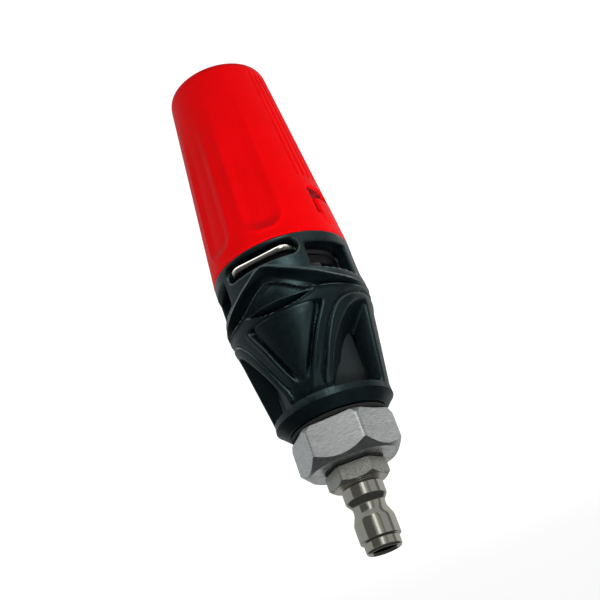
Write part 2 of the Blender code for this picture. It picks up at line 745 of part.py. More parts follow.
def make_quick_plug():
    """Male quick plug: thread, hexagon, shank, ball groove, barrel and nose."""
    chamfer_radius = PLUG_CORNER_RADIUS - PLUG_HEX_CHAMFER
    small_chamfer = PLUG_HEX_CHAMFER / 3
    steps = [
        (SHANK_RADIUS, SHANK_LENGTH),
        (GROOVE_RADIUS, GROOVE_STEEP),
        (GROOVE_RADIUS, GROOVE_FLOOR),
        (BARREL_RADIUS, GROOVE_SLOPE),
        (BARREL_RADIUS, BARREL_LENGTH),
        (NOSE_RADIUS, NOSE_STEP),
        (NOSE_RADIUS, NOSE_LENGTH),
    ]
    outline = [
        (PLUG_BORE_RADIUS, -PLUG_THREAD_LENGTH),
        (PLUG_THREAD_RADIUS, -PLUG_THREAD_LENGTH),
        (PLUG_THREAD_RADIUS, 0.0),
        (PLUG_CORNER_RADIUS - small_chamfer, 0.0),
        (PLUG_CORNER_RADIUS, small_chamfer),
        (PLUG_CORNER_RADIUS, PLUG_HEX_HEIGHT - PLUG_HEX_CHAMFER),
        (chamfer_radius, PLUG_HEX_HEIGHT),
        (SHANK_RADIUS, PLUG_HEX_HEIGHT),
    ]
    height = PLUG_HEX_HEIGHT
    for radius, rise in steps:
        height += rise
        outline.append((radius, height))
    end = height + NOSE_ROUND
    outline += [(NOSE_RADIUS - NOSE_ROUND, end), (PLUG_BORE_RADIUS, end)]
    plug = turned("quick_plug", outline, NICKEL, PLUG_START, HEX_STEPS)
    top = PLUG_START + PLUG_HEX_HEIGHT
    waste = hexagon_waste("plug_waste", PLUG_CORNER_RADIUS, PLUG_START, top, PLUG_TURN)
    combine(plug, waste)
    return plug


def make_swirl_insert():
    """Disc with leaning slots that set the water turning."""
    radius = CHAMBER_RADIUS - CLEARANCE
    bore = TIP_STEM_RADIUS
    outline = [
        (radius, SWIRL_THICKNESS),
        (radius, 0.0),
        (bore, 0.0),
        (bore, SWIRL_THICKNESS),
    ]
    disc = turned("swirl_insert", outline, GREY_PLASTIC, SWIRL_START)
    middle = SWIRL_START + SWIRL_THICKNESS / 2
    slot_radius = (TAIL_BORE_RADIUS + NUT_BORE_RADIUS) / 2
    size = (SWIRL_SLOT_WIDTH, 4 * SWIRL_THICKNESS, slot_radius / 2)
    for index in range(SWIRL_SLOTS):
        frame = facing(math.tau * index / SWIRL_SLOTS, slot_radius, middle)
        frame = frame @ Matrix.Rotation(SWIRL_SLOT_LEAN, 4, "Z")
        combine(disc, box("swirl_slot_cutter", size, frame))


def make_outlet_cap():
    """Screwed front closure with the spray cone and the seat pocket."""
    flange_radius = HOUSING_RADIUS - CLEARANCE
    flange_top = CAP_FLANGE_HEIGHT
    top = CAP_END - CAP_START
    ring_half = CAP_RING_SECTION + CLEARANCE
    ring_z = top - CAP_RING_OFFSET
    ring_floor = CAP_BODY_RADIUS - 2 * CAP_RING_SECTION - CLEARANCE
    floor_z = POCKET_FLOOR - CAP_START
    outline = [
        (CAP_BODY_RADIUS, top),
        (CAP_BODY_RADIUS, ring_z + ring_half),
        (ring_floor, ring_z + ring_half),
        (ring_floor, ring_z - ring_half),
        (CAP_BODY_RADIUS, ring_z - ring_half),
        (CAP_BODY_RADIUS, flange_top),
        (flange_radius, flange_top),
        (flange_radius, 0.0),
        (CAP_MOUTH_RADIUS, 0.0),
        (CAP_THROAT_RADIUS, floor_z - CAP_THROAT_RADIUS),
        (CAP_THROAT_RADIUS, floor_z),
        (POCKET_RADIUS, floor_z),
        (POCKET_RADIUS, top),
    ]
    turned("outlet_cap", outline, BRASS, CAP_START, HEX_STEPS)


def make_cap_o_ring():
    centre = CAP_BODY_RADIUS - CAP_RING_SECTION
    o_ring("cap_o_ring", centre, CAP_RING_SECTION, CAP_END - CAP_RING_OFFSET)


def make_cover_o_ring():
    ring_z = HOUSING_START + COVER_RING_OFFSET
    o_ring("cover_o_ring", cover_ring_centre(), COVER_RING_SECTION, ring_z, HEX_STEPS)


def make_nozzle_seat():
    """Ceramic cup that the rotor's round tip turns in."""
    cup = BALL_RADIUS + CLEARANCE
    centre_z = SEAT_LENGTH - BALL_INTO_SEAT
    first = math.asin(BALL_INTO_SEAT / cup)
    last = -math.acos(SEAT_THROAT_RADIUS / cup)
    outline = [(SEAT_RADIUS, SEAT_LENGTH), (SEAT_RADIUS, 0.0), (SEAT_EXIT_RADIUS, 0.0)]
    outline += rounded((0.0, centre_z), cup, last, first, 2 * ARC_STEPS)
    turned("nozzle_seat", outline, CERAMIC, SEAT_START)


def make_seat_o_ring():
    centre = SEAT_RADIUS - SEAT_RING_SECTION - CLEARANCE
    z = POCKET_FLOOR + CLEARANCE + SEAT_RING_SECTION
    o_ring("seat_o_ring", centre, SEAT_RING_SECTION, z)


# ---------------------------------------------------------------- rotor
def make_rotor_tip():
    """Round-nosed ceramic jet, measured from the ball's middle."""
    first = math.acos(TIP_STEM_RADIUS / BALL_RADIUS)
    last = -math.asin(TIP_NOSE / BALL_RADIUS)
    outline = [(TIP_STEM_RADIUS, TIP_LENGTH)]
    outline += rounded((0.0, 0.0), BALL_RADIUS, first, last, 2 * ARC_STEPS)
    outline += [(TIP_BORE_RADIUS, -TIP_NOSE), (TIP_BORE_RADIUS, TIP_LENGTH)]
    return turned("rotor_tip", outline, CERAMIC)


def make_rotor_body():
    """Moulded tube that holds the tip in front and the vanes behind."""
    pocket_radius = TIP_STEM_RADIUS + CLEARANCE
    pocket_end = TIP_LENGTH + CLEARANCE
    neck_end = pocket_end + ROTOR_NECK_LENGTH
    seat_radius = ROTOR_RADIUS - DRIVE_RING_SEAT
    seat_half = DRIVE_RING_SECTION + CLEARANCE
    outline = [
        (ROTOR_RADIUS, ROTOR_LENGTH),
        (ROTOR_RADIUS, DRIVE_RING_AT + seat_half),
        (seat_radius, DRIVE_RING_AT + seat_half),
        (seat_radius, DRIVE_RING_AT - seat_half),
        (ROTOR_RADIUS, DRIVE_RING_AT - seat_half),
        (ROTOR_RADIUS, ROTOR_START),
        (pocket_radius, ROTOR_START),
        (pocket_radius, pocket_end),
        (ROTOR_NECK_RADIUS, pocket_end),
        (ROTOR_NECK_RADIUS, neck_end),
        (ROTOR_BORE_RADIUS, neck_end),
        (ROTOR_BORE_RADIUS, ROTOR_LENGTH),
    ]
    return turned("rotor_body", outline, GREY_PLASTIC)


def make_rotor_weight():
    """Brass sleeve that gives the rotor its swing."""
    inner = ROTOR_RADIUS + CLEARANCE
    end = WEIGHT_START + WEIGHT_LENGTH
    outline = [
        (WEIGHT_RADIUS, end),
        (WEIGHT_RADIUS, WEIGHT_START),
        (inner, WEIGHT_START),
        (inner, end),
    ]
    return turned("rotor_weight", outline, BRASS)


def make_flow_straightener():
    """Cross of two vanes inside the rotor bore."""
    reach = ROTOR_BORE_RADIUS * math.cos(math.pi / INNER_STEPS) - CLEARANCE
    span = 2 * math.sqrt(reach**2 - (VANE_THICKNESS / 2) ** 2)
    middle = ROTOR_LENGTH - VANE_END - VANE_LENGTH / 2
    vanes = []
    for index in range(2):
        bpy.ops.mesh.primitive_cube_add(size=1.0)
        vane = bpy.context.object
        size = (span, VANE_THICKNESS, VANE_LENGTH, 1.0)
        vane.data.transform(Matrix.Diagonal(size))
        vane.matrix_world = (
            Matrix.Translation((0.0, 0.0, middle))
            @ Matrix.Rotation(index * math.pi / 2, 4, "Z")
        )
        vanes.append(vane)
    cross, other = vanes
    cross.name = "flow_straightener"
    finish(cross, PARTS, GREY_PLASTIC, smooth=False)
    other.name = "vane_cutter"
    combine(cross, as_cutter(other), "UNION")
    return cross


def make_rotor():
    """Build the rotor upright on its pivot, then lean it as it runs."""
    pieces = [
        make_rotor_tip(),
        make_rotor_body(),
        make_rotor_weight(),
        make_flow_straightener(),
        o_ring("drive_ring", DRIVE_RING_CENTRE, DRIVE_RING_SECTION, DRIVE_RING_AT),
    ]
    pivot = axis_empty("rotor_pivot", (0.0, 0.0, 0.0))
    for piece in pieces:
        parent_to(piece, pivot)
    parent_to(bpy.data.objects["vane_cutter"], pivot)
    pivot.location.z = PIVOT_Z
    pivot.rotation_euler.x = rotor_tilt()


clear_scene()
PARTS = new_collection("rotary_pressure_nozzle")
CUTTERS = new_collection("cutters")
RED_PLASTIC = material("red_plastic", (0.72, 0.006, 0.010), 0.42)
BLACK_PLASTIC = material("black_plastic", (0.012, 0.016, 0.018), 0.42)
STEEL_WIRE = material("steel_wire", (0.72, 0.71, 0.68), 0.22, 1.0)
ALUMINIUM = material("aluminium", (0.62, 0.63, 0.63), 0.38, 1.0)
NICKEL = material("nickel_plate", (0.58, 0.56, 0.52), 0.18, 1.0)
DARK_METAL = material("dark_anodised", (0.03, 0.03, 0.032), 0.4, 1.0)
BRASS = material("brass", (0.78, 0.57, 0.28), 0.3, 1.0)
CERAMIC = material("ceramic", (0.85, 0.83, 0.78), 0.25)
GREY_PLASTIC = material("grey_plastic", (0.2, 0.2, 0.21), 0.5)
RUBBER = material("black_rubber", (0.01, 0.01, 0.01), 0.7)

guard_axis = axis_empty("guard_axis", (0.0, 0.0, 0.0))
for guard_piece in (make_front_cover(), make_rear_sleeve(), make_retaining_clip()):
    parent_to(guard_piece, guard_axis)

make_pressure_housing()
make_inlet_nut()
make_inlet_o_ring()
make_glide_washer()
make_plug_seal_ring()
make_quick_plug()
make_swirl_insert()
make_outlet_cap()
make_cap_o_ring()
make_cover_o_ring()
make_nozzle_seat()
make_seat_o_ring()
make_rotor()
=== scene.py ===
# %% [markdown]
# # A rotary pressure-washer nozzle
#
# This lesson dresses a finished design. The design comes as a frame: solids at their real size,
# standing on the flat front rim, with +Z towards the quick plug. Here each piece that can be seen
# gets a fine surface and a finish, and nothing is moved or resized. All lengths below are in
# millimetres and all angles round the nozzle start at its front, which looks towards -Y.

# %% Load the frame
import math

import bpy
import numpy as np
from mathutils import Matrix, Vector


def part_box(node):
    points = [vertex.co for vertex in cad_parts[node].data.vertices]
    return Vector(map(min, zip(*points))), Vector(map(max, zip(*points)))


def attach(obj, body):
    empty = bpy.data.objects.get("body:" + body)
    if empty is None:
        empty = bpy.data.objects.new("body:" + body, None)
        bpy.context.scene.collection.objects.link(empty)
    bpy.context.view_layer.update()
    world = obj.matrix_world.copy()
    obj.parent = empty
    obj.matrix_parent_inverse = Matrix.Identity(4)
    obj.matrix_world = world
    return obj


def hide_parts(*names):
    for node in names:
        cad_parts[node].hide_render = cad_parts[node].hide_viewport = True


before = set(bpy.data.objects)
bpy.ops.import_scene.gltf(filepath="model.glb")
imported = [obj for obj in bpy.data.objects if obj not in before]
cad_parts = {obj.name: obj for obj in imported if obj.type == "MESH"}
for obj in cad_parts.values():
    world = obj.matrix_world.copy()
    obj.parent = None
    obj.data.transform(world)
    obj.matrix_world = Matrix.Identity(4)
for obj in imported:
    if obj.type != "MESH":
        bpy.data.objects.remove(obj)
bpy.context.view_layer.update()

MM = 0.001

# %% [markdown]
# ## Heights that everything hangs on
#
# The frame already knows where each piece starts and ends, so the main heights are read from it.
# A learner who stretches the design then gets a stretched picture, with nothing to retype.

# %% Read the main heights
COVER_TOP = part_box("front_cover")[1].z / MM
SPIGOT_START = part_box("rear_sleeve")[0].z / MM
SLEEVE_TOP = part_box("rear_sleeve")[1].z / MM
NUT_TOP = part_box("inlet_nut")[1].z / MM
PLUG_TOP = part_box("quick_plug")[1].z / MM
WASHER_LOW, WASHER_HIGH = (corner.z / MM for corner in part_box("glide_washer"))
WIRE_Z = (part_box("retaining_clip")[0].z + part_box("retaining_clip")[1].z) / 2 / MM
GAP = 0.3  # air between neighbouring parts
SLEEVE_BOTTOM = COVER_TOP + GAP
NUT_BOTTOM = WASHER_HIGH + GAP
tops = (COVER_TOP, SLEEVE_TOP, PLUG_TOP)
print("cover, sleeve and plug end at", [round(top, 2) for top in tops])

# %% [markdown]
# ## Five small tools for shaping
#
# Moulded parts have no hard steps: every groove eases in and out. `ease` makes that step,
# `bead` makes a soft ridge, and the soft minimum and maximum join two distances with a rounded
# corner. `folded` lets one description serve the front and the back. They work on whole arrays,
# so a surface of a hundred thousand points takes one call.

# %% Easing and blending
def ease(value, low, high):
    """0 below low, 1 above high, and 3t^2 - 2t^3 between, with t the share of the way."""
    share = np.clip((value - low) / (high - low), 0.0, 1.0)
    return share * share * (3.0 - 2.0 * share)


def bead(value, centre, width):
    """A soft ridge of height 1: e to the power of minus the square of (value - centre) / width."""
    return np.exp(-(((value - centre) / width) ** 2))


def soft_max(first, second, blend):
    """The larger of two values, with a rounded corner of size blend where they meet."""
    share = np.clip(0.5 + 0.5 * (first - second) / blend, 0.0, 1.0)
    return first * share + second * (1.0 - share) + blend * share * (1.0 - share)


def soft_min(first, second, blend):
    """The smaller of two values: minus the soft maximum of minus both."""
    return -soft_max(-first, -second, blend)


def folded(angle):
    """Angle from the nearer of front and back, 0 to a quarter turn: the moulds repeat twice."""
    return np.abs((angle + math.pi / 2) % math.pi - math.pi / 2)


print("ease at the middle:", float(ease(0.5, 0.0, 1.0)))

# %% [markdown]
# ## Curves with few points
#
# A designer draws the edge of a chevron or an arch with a handful of points and lets a smooth
# curve run through them. Each stretch here is a cubic that matches both ends and their slopes.
# `off_curve` then says how far a point of the surface lies beyond such an edge.

# %% Smooth curves and distances to them
def through(knots):
    """Curve through (angle in degrees, height) knots, level at the first one.

    Each stretch is a cubic Hermite piece: the slopes inside are centred differences.
    """
    places = np.radians([knot[0] for knot in knots])
    heights = np.array([knot[1] for knot in knots], float)
    slopes = np.gradient(heights, places)

    def height(angle):
        at = np.clip(angle, places[0], places[-1])
        piece = np.clip(np.searchsorted(places, at) - 1, 0, len(places) - 2)
        run = places[piece + 1] - places[piece]
        t = (at - places[piece]) / run
        first = (1 + 2 * t) * (1 - t) ** 2 * heights[piece] + t * (1 - t) ** 2 * run * slopes[piece]
        last = t * t * (3 - 2 * t) * heights[piece + 1] + t * t * (t - 1) * run * slopes[piece + 1]
        return first + last

    slopes[0] = 0.0
    return height


def off_curve(z, curve, angle, radius):
    """Signed distance beyond a curve: height over it, divided by the length of its gradient."""
    small = 0.002
    slope = (curve(angle + small) - curve(angle - small)) / (2 * small)
    return (z - curve(angle)) / np.sqrt(1.0 + (slope / radius) ** 2)


# %% [markdown]
# ## From an outline to a mesh
#
# A turned part is one outline carried round the axis. Its corners are rounded first, because
# real edges catch a thin highlight, and because a rounded corner with a guard row on each side
# keeps smooth shading from spreading over the flats. The outline is a closed loop, so the grid
# that it makes closes on itself in both directions and has no seam and no pole.

# %% Outlines
def soften(corners, cut, steps=3):
    """Closed outline with rounded corners, from corners of shape (K, 2) or (K, columns, 2).

    Each corner P becomes (1-t)^2 A + 2t(1-t) P + t^2 B, where A and B lie `cut` before and
    after it; one more point a third further out guards the straight run on each side.
    """
    corners = np.asarray(corners, float)
    guard, most_of_side = 1.35, 0.34
    cut = np.broadcast_to(np.asarray(cut, float), corners.shape[:1])
    cut = cut.reshape((-1,) + (1,) * (corners.ndim - 1))
    arms = []
    for shift in (1, -1):
        arm = np.roll(corners, shift, 0) - corners
        length = np.linalg.norm(arm, axis=-1, keepdims=True)
        arms.append(arm / length * np.minimum(cut, length * most_of_side))
    before, after = arms
    t = np.linspace(0.0, 1.0, steps + 1).reshape((-1,) + (1,) * corners.ndim)
    curve = corners + (1 - t) ** 2 * before + t**2 * after
    guards = [(corners + guard * arm)[None] for arm in arms]
    rows = np.concatenate([guards[0], curve, guards[1]])
    rows = np.swapaxes(rows, 0, 1)
    return rows.reshape((-1,) + corners.shape[1:])


def refine(outline, longest):
    """Closed (radius, height) outline with points added, so that no side is over its longest."""
    ahead = np.roll(outline, -1, 0)
    sides = np.linalg.norm(ahead - outline, axis=1)
    counts = np.ceil(sides / longest).astype(int).clip(1)
    start = np.repeat(np.arange(len(outline)), counts)
    step = np.arange(len(start)) - np.repeat(np.cumsum(counts) - counts, counts)
    share = (step / counts[start])[:, None]
    return outline[start] * (1 - share) + ahead[start] * share


def round_the_axis(outline, angles):
    """Points (r sin a, -r cos a, z) for every row of the outline and every angle."""
    outline = np.asarray(outline)
    if outline.ndim == 2:
        outline = outline[:, None]
    radius, z = np.broadcast_arrays(outline[..., 0], outline[..., 1])
    radius = radius + np.zeros_like(angles)
    z = z + np.zeros_like(angles)
    return np.stack([radius * np.sin(angles), -radius * np.cos(angles), z], -1)


# %% [markdown]
# ## From a grid to a piece
#
# A mesh is a list of points and a list of faces, so a grid needs no modelling tools: its faces
# follow from its rows and columns. `add_piece` measures the volume, turns the faces outwards if
# it is negative, and tells the frame which body the piece rides on and which solid it stands for.
# `give_faces` lays a second finish on chosen faces, which costs less than a second piece.

# %% Grids and meshes
def ring_quads(rows, columns):
    """Faces of a grid that closes both ways: (i, j), (i, j+1), (i+1, j+1), (i+1, j)."""
    index = np.arange(rows * columns).reshape(rows, columns)
    below = np.roll(index, -1, 0)
    corners = (index, np.roll(index, -1, 1), np.roll(below, -1, 1), below)
    return np.stack([corner.ravel() for corner in corners], 1)


def enclosed(points, quads, triangles):
    """Volume inside the faces: a sixth of the sum of a . (b x c) over their triangles."""
    fans = np.concatenate([quads[:, [0, 1, 2]], quads[:, [0, 2, 3]], triangles])
    a, b, c = (points[fans[:, side]] for side in range(3))
    return np.einsum("ij,ij->i", a, np.cross(b, c)).sum() / 6


def add_piece(name, points, quads, look, body, slot, replaces=(), triangles=None, sharp=34):
    """Put a surface in the scene, faces outwards, riding on a body and standing for its nodes."""
    points = points.reshape(-1, 3)
    triangles = np.empty((0, 3), int) if triangles is None else triangles
    if enclosed(points, quads, triangles) < 0:
        quads = quads[:, ::-1]
        triangles = triangles[:, ::-1]
    mesh = bpy.data.meshes.new(name)
    mesh.from_pydata((points * MM).tolist(), [], quads.tolist() + triangles.tolist())
    mesh.shade_smooth()
    mesh.set_sharp_from_angle(angle=math.radians(sharp))
    mesh.materials.append(look)
    piece = bpy.data.objects.new(name, mesh)
    bpy.context.scene.collection.objects.link(piece)
    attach(piece, body)
    if replaces:
        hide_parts(*replaces)
    count = 2 * len(quads) + len(triangles)
    volume = abs(enclosed(points, quads, triangles)) / 1000
    print(f"{name}: {count} triangles, {volume:.2f} cm3")
    return piece


def give_faces(piece, look, chosen):
    """Second finish on the faces whose middles, in millimetres, the rule picks out."""
    middles = np.empty(3 * len(piece.data.polygons))
    piece.data.polygons.foreach_get("center", middles)
    picked = chosen(middles.reshape(-1, 3) / MM)
    piece.data.materials.append(look)
    piece.data.polygons.foreach_set("material_index", picked.astype(np.int32))
    print(look.name, "on", int(picked.sum()), "faces")


def evenly_round(columns):
    """Angles of a full turn in even steps."""
    return np.linspace(0.0, math.tau, columns, endpoint=False)


def turn_piece(name, outline, columns, *how, **more):
    """A turned piece from its finished outline."""
    points = round_the_axis(outline, evenly_round(columns))
    return add_piece(name, points, ring_quads(*points.shape[:2]), *how, **more)


# %% [markdown]
# ## Finishes
#
# Each finish is one Principled shader. Moulded plastic is not a flat colour: its roughness
# wanders a little, and a fine spark-eroded grain from the mould breaks up the highlight. Machined
# metal keeps the marks of the tool, so its noise is stretched along the way it was cut. Every
# pattern reads Object coordinates, so it stays put when the nozzle turns.

# %% Helpers for all finishes
NUMBER_SPAN = (0.30, 0.70)  # stretch of a noise that a number follows
COLOUR_SPAN = (0.35, 0.65)  # a narrower one, so that colours differ more


def new_finish(name, colour, roughness, metallic=0.0):
    """Material with one Principled shader: its colour, its roughness and how metallic it is."""
    look = bpy.data.materials.new(name)
    look.use_nodes = True
    shader = look.node_tree.nodes["Principled BSDF"]
    shader.inputs["Base Color"].default_value = (*colour, 1.0)
    shader.inputs["Roughness"].default_value = roughness
    shader.inputs["Metallic"].default_value = metallic
    return look


def set_socket(look, socket, value):
    """Set a value that is the same all over on the shader's own socket."""
    look.node_tree.nodes["Principled BSDF"].inputs[socket].default_value = value


def noise(look, scale, stretch=(1.0, 1.0, 1.0), detail=3.0):
    """A noise pattern on Object coordinates, scale in features per metre times stretch."""
    nodes, links = look.node_tree.nodes, look.node_tree.links
    place = nodes.new("ShaderNodeTexCoord")
    mapping = nodes.new("ShaderNodeMapping")
    mapping.inputs["Scale"].default_value = stretch
    pattern = nodes.new("ShaderNodeTexNoise")
    pattern.inputs["Scale"].default_value = scale
    pattern.inputs["Detail"].default_value = detail
    links.new(place.outputs["Object"], mapping.inputs["Vector"])
    links.new(mapping.outputs["Vector"], pattern.inputs["Vector"])
    return pattern.outputs["Fac"]


def drawn_out(look, pattern, span, low=0.0, high=1.0):
    """The span of a pattern, drawn out to run from low to high."""
    spread = look.node_tree.nodes.new("ShaderNodeMapRange")
    limits = zip(("From Min", "From Max", "To Min", "To Max"), (*span, low, high))
    for socket, value in limits:
        spread.inputs[socket].default_value = value
    look.node_tree.links.new(pattern, spread.inputs["Value"])
    return spread.outputs["Result"]


def wander(look, pattern, socket, low, high):
    """Let a number follow a pattern between two values."""
    number = drawn_out(look, pattern, NUMBER_SPAN, low, high)
    look.node_tree.links.new(number, look.node_tree.nodes["Principled BSDF"].inputs[socket])


def tint(look, pattern, first, second):
    """Let the colour follow a pattern between two colours."""
    nodes, links = look.node_tree.nodes, look.node_tree.links
    mix = nodes.new("ShaderNodeMix")
    mix.data_type = "RGBA"
    mix.inputs["A"].default_value = (*first, 1.0)
    mix.inputs["B"].default_value = (*second, 1.0)
    links.new(drawn_out(look, pattern, COLOUR_SPAN), mix.inputs["Factor"])
    links.new(mix.outputs["Result"], nodes["Principled BSDF"].inputs["Base Color"])


def grain(look, patterns, strength, depth):
    """Bump from one or more patterns, each laid over the last, `depth` millimetres deep."""
    nodes, links = look.node_tree.nodes, look.node_tree.links
    shader = nodes["Principled BSDF"]
    previous = None
    for pattern in patterns:
        bump = nodes.new("ShaderNodeBump")
        bump.inputs["Strength"].default_value = strength
        bump.inputs["Distance"].default_value = depth * MM
        links.new(pattern, bump.inputs["Height"])
        if previous:
            links.new(previous.outputs["Normal"], bump.inputs["Normal"])
        previous = bump
    links.new(previous.outputs["Normal"], shader.inputs["Normal"])


# %% [markdown]
# ## Plastics, rubber and ceramic
#
# The cover is saturated red with little shine, and the sleeve is nearly black with a faint cool
# shine. The bottom of the cover's pocket and slits gets a much darker red, which is painted
# shade of the recess. One glossy black for everything would be quicker, but rubber, ceramic and
# plastic differ in roughness more than in colour, and that is what the eye reads.

# %% The plastics, the rubber and the ceramic
red_plastic = new_finish("red_moulded_plastic", (0.86, 0.0, 0.002), 0.40)
set_socket(red_plastic, "Specular IOR Level", 0.07)
tint(red_plastic, noise(red_plastic, 60.0), (0.84, 0.0, 0.001), (0.90, 0.0, 0.002))
wander(red_plastic, noise(red_plastic, 900.0), "Roughness", 0.30, 0.42)
grain(red_plastic, [noise(red_plastic, 2600.0)], 0.25, 0.03)

# Much darker red for the bottom of the pocket and slits: painted shade of the recess.
pocket_painted_shade_red = new_finish("red_with_painted_shade_in_the_pocket", (0.22, 0.0, 0.001), 0.6)
tint(pocket_painted_shade_red, noise(pocket_painted_shade_red, 900.0), (0.10, 0.0, 0.001), (0.34, 0.0, 0.001))
grain(pocket_painted_shade_red, [noise(pocket_painted_shade_red, 2600.0)], 0.25, 0.03)

black_plastic = new_finish("black_moulded_plastic", (0.001, 0.002, 0.003), 0.33)
set_socket(black_plastic, "Specular Tint", (0.62, 0.98, 1.0, 1.0))
set_socket(black_plastic, "Specular IOR Level", 0.50)
tint(black_plastic, noise(black_plastic, 90.0), (0.0004, 0.001, 0.0014), (0.001, 0.002, 0.0026))
wander(black_plastic, noise(black_plastic, 700.0), "Roughness", 0.28, 0.42)
grain(black_plastic, [noise(black_plastic, 2200.0)], 0.35, 0.04)

lug_plastic = new_finish("grey_clip_lug_plastic", (0.085, 0.080, 0.084), 0.5)
grain(lug_plastic, [noise(lug_plastic, 1800.0)], 0.3, 0.03)

rotor_plastic = new_finish("grey_glass_filled_plastic", (0.16, 0.16, 0.17), 0.5)
tint(rotor_plastic, noise(rotor_plastic, 500.0), (0.13, 0.13, 0.14), (0.20, 0.20, 0.21))
grain(rotor_plastic, [noise(rotor_plastic, 1500.0)], 0.3, 0.03)

rubber = new_finish("black_rubber", (0.012, 0.012, 0.012), 0.65)
wander(rubber, noise(rubber, 800.0), "Roughness", 0.55, 0.75)
grain(rubber, [noise(rubber, 2500.0)], 0.3, 0.02)

ceramic = new_finish("white_ceramic", (0.84, 0.82, 0.77), 0.22)
tint(ceramic, noise(ceramic, 400.0), (0.86, 0.84, 0.79), (0.80, 0.78, 0.73))
grain(ceramic, [noise(ceramic, 1200.0)], 0.1, 0.01)

# %% [markdown]
# ## Metals
#
# A turned bar carries fine rings, so its noise is squeezed along the axis. The nut's flats are
# only brushed, so theirs is squeezed less. The plug is tumbled dull on its hexagon and turned
# bright on its barrel. The clip's legs and the collar under them get near-black painted shade,
# for the shade of the groove they lie in.

# %% The metals and the painted shade
TURNING_MARKS = (0.15, 0.15, 12.0)
BRUSHED_MARKS = (0.35, 0.35, 2.4)

aluminium = new_finish("satin_aluminium", (0.76, 0.78, 0.77), 0.34, 1.0)
wander(aluminium, noise(aluminium, 900.0, BRUSHED_MARKS), "Roughness", 0.26, 0.46)
tint(aluminium, noise(aluminium, 1700.0, BRUSHED_MARKS), (0.66, 0.68, 0.67), (0.94, 0.96, 0.95))
grain(aluminium, [noise(aluminium, 1500.0, BRUSHED_MARKS), noise(aluminium, 3000.0)], 0.35, 0.02)

rough_nickel = new_finish("tumbled_nickel", (0.60, 0.60, 0.54), 0.5, 1.0)
tint(rough_nickel, noise(rough_nickel, 3600.0), (0.40, 0.41, 0.36), (0.80, 0.79, 0.72))
wander(rough_nickel, noise(rough_nickel, 1500.0), "Roughness", 0.40, 0.58)
grain(rough_nickel, [noise(rough_nickel, 3400.0)], 0.6, 0.05)

nickel = new_finish("bright_nickel", (0.61, 0.59, 0.51), 0.12, 1.0)
wander(nickel, noise(nickel, 500.0), "Roughness", 0.08, 0.20)
grain(nickel, [noise(nickel, 300.0, TURNING_MARKS)], 0.12, 0.02)

steel_wire = new_finish("polished_spring_steel", (0.90, 0.84, 0.76), 0.16, 1.0)
wander(steel_wire, noise(steel_wire, 900.0), "Roughness", 0.18, 0.26)
grain(steel_wire, [noise(steel_wire, 900.0)], 0.05, 0.005)

# Near-black for the clip's legs and the collar under them: painted shade of the groove.
black_painted_shade = new_finish("black_painted_shade_in_the_groove", (0.006, 0.006, 0.007), 0.5)
wander(black_painted_shade, noise(black_painted_shade, 700.0), "Roughness", 0.40, 0.60)
grain(black_painted_shade, [noise(black_painted_shade, 500.0)], 0.30, 0.05)

dark_metal = new_finish("dark_anodised_aluminium", (0.034, 0.042, 0.044), 0.42, 0.6)
wander(dark_metal, noise(dark_metal, 600.0, TURNING_MARKS), "Roughness", 0.36, 0.52)
grain(dark_metal, [noise(dark_metal, 500.0, TURNING_MARKS)], 0.2, 0.02)

brass = new_finish("machined_brass", (0.72, 0.52, 0.24), 0.25, 1.0)
wander(brass, noise(brass, 500.0, TURNING_MARKS), "Roughness", 0.20, 0.34)
grain(brass, [noise(brass, 700.0, TURNING_MARKS)], 0.15, 0.02)
print("finishes:", len(bpy.data.materials))

# %% [markdown]
# ## The red front cover
#
# The cover is a moulded cone that the hand grips. Two shallow finger flutes run along the front
# and two along the back, each with a soft lip that rounds off near the sleeve. On each side sits
# a corrugated grip panel, a small pocket, and the snap tongue with a slit on each side of it. It
# could be cut with booleans, but then every edge would be hard; a height added to the cone keeps
# them all soft, so the whole skin is one grid.

# %% Shape of the cover's skin
COVER_RIM_RADIUS = 15.9
COVER_FLARE = 5.5
COVER_WALL = 2.2
COVER_TURN = math.radians(8.7)
FLUTE_OFFSET = math.radians(23.25)
FLUTE_HALF = math.radians(16.0)
FLUTE_END = 64.6
FLUTE_ROUND = 5.0
FLUTE_DEPTH = 0.75
FLUTE_LIP = 0.20
RIB_PITCH = math.radians(8.0)
PANEL_HALF = math.radians(20.5)
PANEL_START = 3.0
PANEL_END = 47.0
RIB_DEPTH = 0.50
POCKET_START = 51.0
POCKET_END = 55.6
POCKET_HALF = 5.8
POCKET_DEPTH = 1.8
SLIT_INNER = 4.3
SLIT_END = 61.6
TONGUE_END = 65.0
TONGUE_RISE = 0.22


def cover_radius(z):
    """Radius of the plain cone, growing evenly from the rim to the rear edge."""
    return COVER_RIM_RADIUS + COVER_FLARE * z / COVER_TOP


def flute_relief(angle, z):
    """Dish of depth d ease(inside) with a bead on its edge; inside is a rounded-box distance."""
    radius = cover_radius(z)
    across = np.abs(radius * (folded(angle) - FLUTE_OFFSET))
    beyond_side = across - (radius * FLUTE_HALF - FLUTE_ROUND)
    beyond_end = z - (FLUTE_END - FLUTE_ROUND)
    outside = np.hypot(beyond_side.clip(0), beyond_end.clip(0)) - FLUTE_ROUND
    inside = -(outside + np.minimum(np.maximum(beyond_side, beyond_end), 0))
    dish = FLUTE_DEPTH * ease(inside, 0.0, 3.2) * ease(z, 8.0, 38.0)
    lip = FLUTE_LIP * bead(inside, -0.2, 0.75) * ease(z, 10.0, 40.0)
    return lip - dish


def panel_relief(angle, z):
    """Grooves at every odd half pitch from the panel's middle, ended by an easing each way."""
    turn = math.pi / 2 - folded(angle)
    phase = (turn / RIB_PITCH) % 1.0
    groove = bead(phase, 0.5, 0.20)
    along = ease(z, PANEL_START, PANEL_START + 2.0)
    along = along * (1 - ease(z, PANEL_END - 0.5, PANEL_END + 0.4))
    return -RIB_DEPTH * groove * along * (1 - ease(turn, PANEL_HALF, PANEL_HALF + 0.02))


